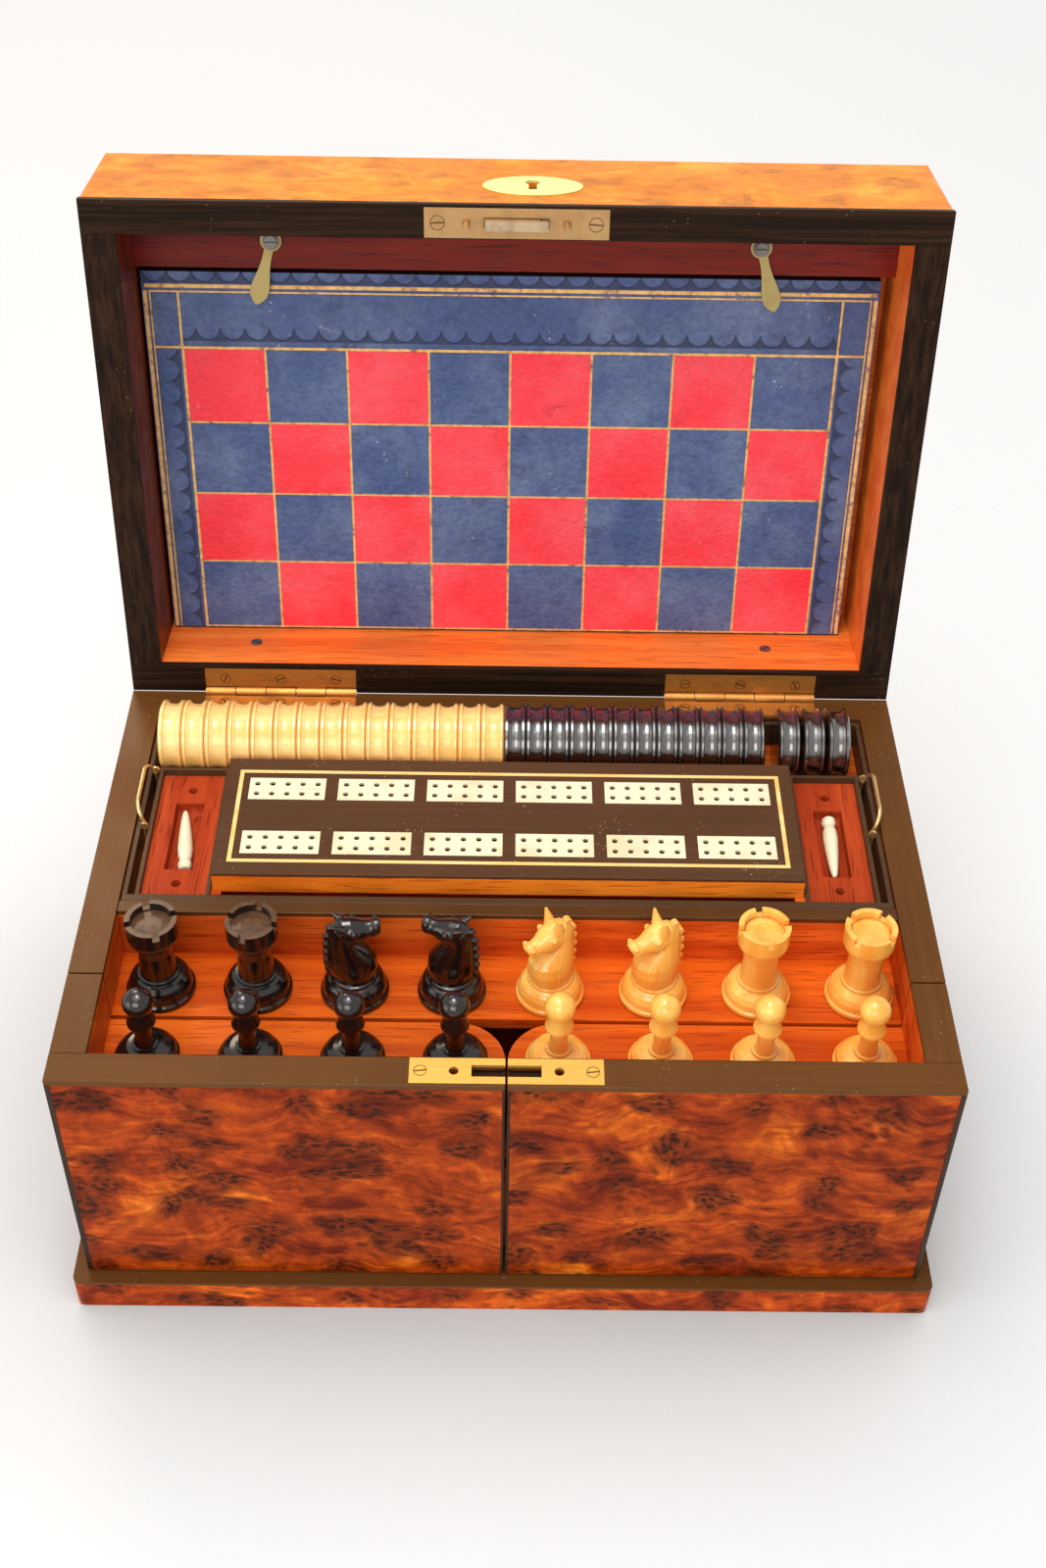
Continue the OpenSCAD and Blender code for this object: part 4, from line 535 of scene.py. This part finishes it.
shelfWood = mahogany("shelfMahogany", woodSets["shelf"], "x")
wallWood = mahogany("wallMahogany", woodSets["wall"], "x")
wallWoodY = mahogany("wallMahoganyDeep", woodSets["wall"], "y")
lidWallWood = mahogany("lidWallMahogany", woodSets["lidWall"], "x")
lidShadeWood = mahogany("lidShadeMahogany", woodSets["lidShade"], "z")
battenWood = mahogany("battenMahogany", woodSets["batten"], "x")
blockWood = mahogany("blockMahogany", woodSets["block"], "y")
cribLitWood = mahogany("cribLitMahogany", woodSets["crib"], "x")

# painted light and sheen: the case rim, the cap, the tray and the crib top carry a brown film of
# painted light from above and painted sheen; the lid rim has none
rimWoodX = ebonyWood("rimEbonyAcross", "x", paintedLightFilm=0.9, dust=0.5, shine=0.12)
rimWoodY = ebonyWood("rimEbonyDeep", "y", paintedLightFilm=0.9, dust=0.5, shine=0.12)
lidRimX = ebonyWood("lidRimEbonyAcross", "x", dust=0.25, shine=0.06)
lidRimY = ebonyWood("lidRimEbonyDeep", "z", dust=0.25, shine=0.06)
trimWood = ebonyWood("trimEbony", "z", paintedLightFilm=0.1, dust=0.2)
capWood = ebonyWood("capEbony", "x", paintedLightFilm=0.7, dust=0.4)
trayWood = ebonyWood("trayEbony", "x", paintedLightFilm=0.6, dust=0.4, gloss=0.4, paintedLightColor=paint(104, 74, 48))
cribTopWood = ebonyWood("cribTopEbony", "x", paintedLightFilm=0.75, dust=0.8, gloss=0.36,
                        paintedLightColor=paint(104, 71, 47))

manBoxwood = turnedBoxwood("chessBoxwood", turnedLook["boxwood"], "z")
draughtBoxwood = turnedBoxwood("draughtBoxwood", turnedLook["draught"], "x")
manBlack = blackStained("chessBlack", 0.3)
cupDust = blackStained("rookCupDust", 0.3, dusty=0.65)
draughtBlack = blackStained("draughtBlack", 0.6, coat=1.0, sheen=0.20, polish=2.2)

strikeBrass = agedMetal("strikeBrass", metalSets["bright"])
lockBrass = agedMetal("lockBrass", metalSets["lock"])
hingeBrass = agedMetal("hingeBrass", metalSets["hinge"])
ovalBrass = agedMetal("escutcheonBrass", metalSets["oval"])
buttonBrass = agedMetal("buttonBrass", metalSets["button"], "y")
wireBrass = agedMetal("handleBrass", metalSets["wire"])
boltSteel = agedMetal("boltSteel", metalSets["bolt"])
screwSteel = agedMetal("screwSteel", metalSets["screw"])

bone = carvedBone("bone")
blueLeather = squareLeather("blueLeather", boardLook["blue"], boardLook["blueWorn"],
                            boardLook["blueDeep"], 0.8)
redLeather = squareLeather("redLeather", boardLook["red"], boardLook["redWorn"],
                           boardLook["redDeep"], 0.35, pebbled=0.35)
boardFace = tooledBoard("tooledBoard")
spineLeather = darkLeather("spineLeather")
print("materials laid out")


# dressing the pieces; edges are rounded by so many metres
edge = {"fine": 0.0003, "rim": 0.0004, "plinth": 0.0006, "weld": 0.000004, "segments": 2,
        "corner": math.radians(50)}


def ease(piece, width):                            # rounds the sawn edges a little
    weld = piece.modifiers.new("weld", "WELD")
    weld.merge_threshold = edge["weld"]
    soft = piece.modifiers.new("easedEdges", "BEVEL")
    soft.width = width
    soft.segments = edge["segments"]
    soft.limit_method = "ANGLE"
    soft.angle_limit = edge["corner"]
    soft.use_clamp_overlap = True
    soft.harden_normals = False


# pick chooses a material for each face by its middle and the way that it looks
def dress(name, *materials, pick=None, eased=0.0):
    piece = nodes[name]
    piece.data.materials.clear()
    for material in materials:
        piece.data.materials.append(material)
    for face in piece.data.polygons:
        face.material_index = pick(face.center, face.normal) if pick else 0
    if eased:
        ease(piece, eased)


def lidPlace(center):                              # depth and height of a point in the shut lid
    dy, dz = center.y - lidHinge["y"], center.z - lidHinge["z"]
    cosine, sine = math.cos(lidHinge["open"]), math.sin(lidHinge["open"])
    return dy * cosine - dz * sine + lidHinge["y"], dy * sine + dz * cosine


lockPocket = {"reach": 0.0130, "middle": -0.1010, "half": 0.0028, "low": 0.1250}
lidShape = {"inside": 0.0520, "top": 0.0590}       # heights in the shut lid
ledgeSide = 0.1655                                 # the plinth's ledge runs front to back past it
pegHoles = {"low": 0.1363, "high": 0.1403, "reach": 0.110, "front": 0.0, "back": 0.050}
rookCup = 0.1440                                   # height of the cup's floor


# veneer outside, mahogany inside, and dark ebony in the lock's pocket, which is painted shade
def doorFace(center, normal):
    if (abs(center.x) < lockPocket["reach"] and center.z > lockPocket["low"]
            and abs(center.y - lockPocket["middle"]) < lockPocket["half"]):
        return 3
    if normal.z > 0.5 or (abs(center.x) < inner["x"] + inner["slack"]
                          and center.y > inner["front"] - inner["slack"]):
        return 2
    return 1 if abs(normal.x) > 0.5 else 0


# front and back, top, sides, inside, and the shaded left wall inside
def lidFace(center, normal):
    depth, height = lidPlace(center)
    if (abs(center.x) < inner["x"] + inner["slack"] and height < lidShape["inside"]
            and inner["front"] - inner["slack"] < depth < inner["back"] + inner["slack"]):
        return 4 if normal.x > 0.7 else 3
    if abs(normal.x) > 0.7:
        return 2
    return 1 if height > lidShape["top"] else 0


def lidRimFace(center, normal):                    # the rim's two sides run front to back
    beside = abs(center.x) > inner["x"] - inner["slack"]
    return 1 if beside and inner["front"] < lidPlace(center)[0] < inner["back"] else 0


def cribFace(center, normal):                      # the bottoms of the peg holes are given dark ebony: painted shade
    return 1 if (pegHoles["low"] < center.z < pegHoles["high"] and abs(center.x) < pegHoles["reach"]
                 and pegHoles["front"] < center.y < pegHoles["back"]) else 0


def cupFace(center, normal):
    return 1 if normal.z > 0.6 and center.z > rookCup else 0


def sideways(center, normal):
    return 1 if abs(normal.x) > 0.5 else 0


def outPast(limit):
    return lambda center, normal: 1 if abs(center.x) > limit else 0


def inBefore(limit):
    return lambda center, normal: 1 if abs(center.x) < limit else 0


def forwardOf(limit):
    return lambda center, normal: 1 if center.y < limit else 0


for side, burr in (("left", leftDoorBurr), ("right", rightDoorBurr)):
    dress(side + "_door", burr, sideBurr, wallWood, trimWood, pick=doorFace, eased=edge["fine"])
    dress(side + "_door_rim", rimWoodX, rimWoodY, pick=outPast(inner["x"]), eased=edge["rim"])
    dress(side + "_door_edging", trimWood, eased=edge["fine"])
    dress(side + "_door_shelves", shelfWood, eased=edge["fine"])
    dress(side + "_door_hinges", hingeBrass)
    dress(side + "_strike_plate", strikeBrass)
    dress(side + "_turn_button", buttonBrass)
    dress(side + "_handle", wireBrass)

dress("plinth", plinthBurr, plinthSideBurr, pick=sideways, eased=edge["plinth"])
dress("plinth_ledge", rimWoodX, rimWoodY, pick=outPast(ledgeSide), eased=edge["rim"])
dress("back_wall", backBurr, wallWood, pick=forwardOf(inner["back"] + inner["slack"]),
      eased=edge["fine"])
dress("side_walls", sideBurr, wallWoodY, pick=inBefore(inner["x"] + inner["slack"]),
      eased=edge["fine"])
dress("case_rim", rimWoodX, rimWoodY, pick=forwardOf(inner["back"] - 0.0001), eased=edge["rim"])
dress("ebony_trim", trimWood, capWood, pick=forwardOf(0), eased=edge["fine"])
dress("partition", wallWood, eased=edge["fine"])
dress("lid_box", lidFrontBurr, lidTopBurr, lidSideBurr, lidWallWood, lidShadeWood, pick=lidFace)
dress("lid_rim", lidRimX, lidRimY, pick=lidRimFace, eased=edge["rim"])
dress("lid_batten", battenWood, eased=edge["rim"])
dress("tray_walls", trayWood, eased=edge["fine"])
dress("peg_blocks", blockWood, eased=edge["fine"])
dress("crib_body", cribLitWood, trimWood, pick=cribFace, eased=edge["fine"])
dress("rooks_black", manBlack, cupDust, pick=cupFace)

plainPieces = (
    (wallWood, "base_board", "tray_bearers", "tray_floor_board"),
    (shelfWood, "carcase_bottom", "upper_shelf"),
    (hingeBrass, "case_hinges", "lid_hinges"),
    (lockBrass, "lock_case", "lock_plate"),
    (boltSteel, "lock_bolt"),
    (ovalBrass, "escutcheon"),
    (screwSteel, "lid_screws"),
    (wireBrass, "handle_eyes"),
    (boardFace, "board_leaves"),
    (spineLeather, "board_spine"),
    (redLeather, "board_red_squares"),
    (blueLeather, "board_blue_squares"),
    (bone, "bone_pegs", "crib_plates"),
    (cribTopWood, "crib_top"),
    (draughtBoxwood, "draughts_light", "crib_line"),
    (draughtBlack, "draughts_dark"),
    (manBlack, "pawns_black", "officers_black", "knights_black"),
    (manBoxwood, "rooks_white", "pawns_white", "officers_white", "knights_white"),
)
for material, *names in plainPieces:
    for name in names:
        dress(name, material)

knightSkin = {"grid": 0.00028, "rub": 0.5, "passes": 4}


def carveKnights(name):                            # softens the lofted horses into one carved skin
    piece = nodes[name]
    skin = piece.modifiers.new("carvedSkin", "REMESH")
    skin.mode = "VOXEL"
    skin.voxel_size = knightSkin["grid"]
    skin.use_smooth_shade = True
    rub = piece.modifiers.new("rubbed", "SMOOTH")
    rub.factor = knightSkin["rub"]
    rub.iterations = knightSkin["passes"]


carveKnights("knights_black")
carveKnights("knights_white")
print("pieces dressed")


# floor, light and camera
studio = {
    "floorColor": paint(248, 248, 248), "floorReach": 4, "floorGlow": 1.0, "floorShare": 0.72,
    "shadowGlow": 0.40, "shadowReach": 0.13,
    "worldColor": (1.0, 0.985, 0.965, 1), "worldLevel": 0.46, "worldSeen": 0.86,
}
tints = {"warm": (1.0, 0.94, 0.86), "golden": (1.0, 0.80, 0.56), "cool": (0.97, 0.98, 1.0)}
softboxes = {
    "overhead": {"place": (-0.25, -0.25, 1.6), "aim": (0, 0, 0.1), "size": (1.4, 1.2),
                 "watts": 8.0, "tint": tints["warm"]},
    "frontWindow": {"place": (-0.35, -1.75, 1.15), "aim": (0, 0, 0.2), "size": (1.3, 0.9),
                    "watts": 16.0, "tint": tints["warm"]},
    "leftWindow": {"place": (-1.5, -0.75, 0.45), "aim": (0, 0, 0.15), "size": (0.9, 0.8),
                   "watts": 4.0, "tint": tints["warm"]},
    "roofWindow": {"place": (-0.1, 0.0, 1.35), "aim": (0, 0, 0.15), "size": (0.5, 0.32),
                   "watts": 6.5, "tint": tints["cool"]},
    "backLeftWindow": {"place": (-0.55, 1.35, 1.3), "aim": (-0.1, 0, 0.15), "size": (0.7, 0.6),
                       "watts": 10.0, "tint": tints["golden"]},
}


def seenDirectly(bench):                           # 1 to the camera and in reflections
    path = bench.add("ShaderNodeLightPath").outputs
    return bench.calc("MAXIMUM", path["Is Camera Ray"], path["Is Glossy Ray"])


def paleFloor():
    reach = studio["floorReach"]
    mesh = bpy.data.meshes.new("floor")
    mesh.from_pydata([(-reach, -reach, 0), (reach, -reach, 0), (reach, reach, 0),
                      (-reach, reach, 0)], [], [(0, 1, 2, 3)])
    floor = bpy.data.objects.new("floor", mesh)
    bpy.context.scene.collection.objects.link(floor)
    bench = startMaterial("paleFloor")
    bench.tree.nodes.remove(bench.shader)
    plain = bench.add("ShaderNodeBsdfDiffuse", {"Color": studio["floorColor"]})
    near = bench.add("ShaderNodeAmbientOcclusion", {"Distance": studio["shadowReach"]},
                     samples=16)                   # the glow dims beside the box
    level = bench.fade(near.outputs["AO"], 0.5, 1.0, studio["shadowGlow"], studio["floorGlow"],
                       "LINEAR")
    glow = bench.add("ShaderNodeEmission", {"Color": studio["floorColor"], "Strength": level})
    share = bench.calc("MULTIPLY", seenDirectly(bench), studio["floorShare"])
    mixed = bench.add("ShaderNodeMixShader", {0: share, 1: plain.outputs[0], 2: glow.outputs[0]})
    bench.feed(bench.tree.nodes["Material Output"].inputs["Surface"], mixed.outputs[0])
    mesh.materials.append(bench.material)


def softbox(name, place, aim, size, watts, tint):
    lamp = bpy.data.lights.new(name, "AREA")
    lamp.shape = "RECTANGLE"
    lamp.size, lamp.size_y = size
    lamp.energy = watts
    lamp.color = tint
    holder = bpy.data.objects.new(name, lamp)
    bpy.context.scene.collection.objects.link(holder)
    holder.location = place
    holder.rotation_euler = (Vector(aim) - Vector(place)).to_track_quat("-Z", "Y").to_euler()


def paleRoom():                                    # paler where it is looked at
    world = bpy.data.worlds.new("paleRoom")
    bpy.context.scene.world = world
    world.use_nodes = True
    bench = Bench(world.node_tree)
    back = bench.tree.nodes["Background"]
    bench.feed(back.inputs["Color"], studio["worldColor"])
    bench.feed(back.inputs["Strength"], bench.fade(seenDirectly(bench), 0.0, 1.0,
               studio["worldLevel"], studio["worldSeen"], "LINEAR"))


paleFloor()
paleRoom()
for name, lamp in softboxes.items():
    softbox(name, **lamp)

# the photo's camera, in metres and radians; its focal length and height are in pixels
photoView = {
    "place": (-0.00141, -0.53739, 0.67957), "pitch": 0.7465, "yaw": 0.0119, "roll": -0.0204,
    "focal": 1962.26, "height": 1600, "sensor": 36.0, "nearest": 0.01,
}


def aimCamera():
    pitch, yaw, roll = (photoView[key] for key in ("pitch", "yaw", "roll"))
    ahead = Vector((math.sin(yaw) * math.cos(pitch), math.cos(yaw) * math.cos(pitch),
                    -math.sin(pitch)))
    level = Vector((math.cos(yaw), -math.sin(yaw), 0))
    down = ahead.cross(level)
    right = math.cos(roll) * level + math.sin(roll) * down
    under = -math.sin(roll) * level + math.cos(roll) * down
    turn = Matrix((right, -under, -ahead)).transposed().to_4x4()
    lens = bpy.data.cameras.new("photoCamera")
    lens.sensor_width = photoView["sensor"]
    lens.lens = photoView["focal"] / photoView["height"] * photoView["sensor"]
    lens.clip_start = photoView["nearest"]
    camera = bpy.data.objects.new("photoCamera", lens)
    bpy.context.scene.collection.objects.link(camera)
    camera.matrix_world = Matrix.Translation(photoView["place"]) @ turn
    bpy.context.scene.camera = camera


aimCamera()
bpy.context.scene.view_settings.view_transform = "Standard"
print("floor, light and camera set")
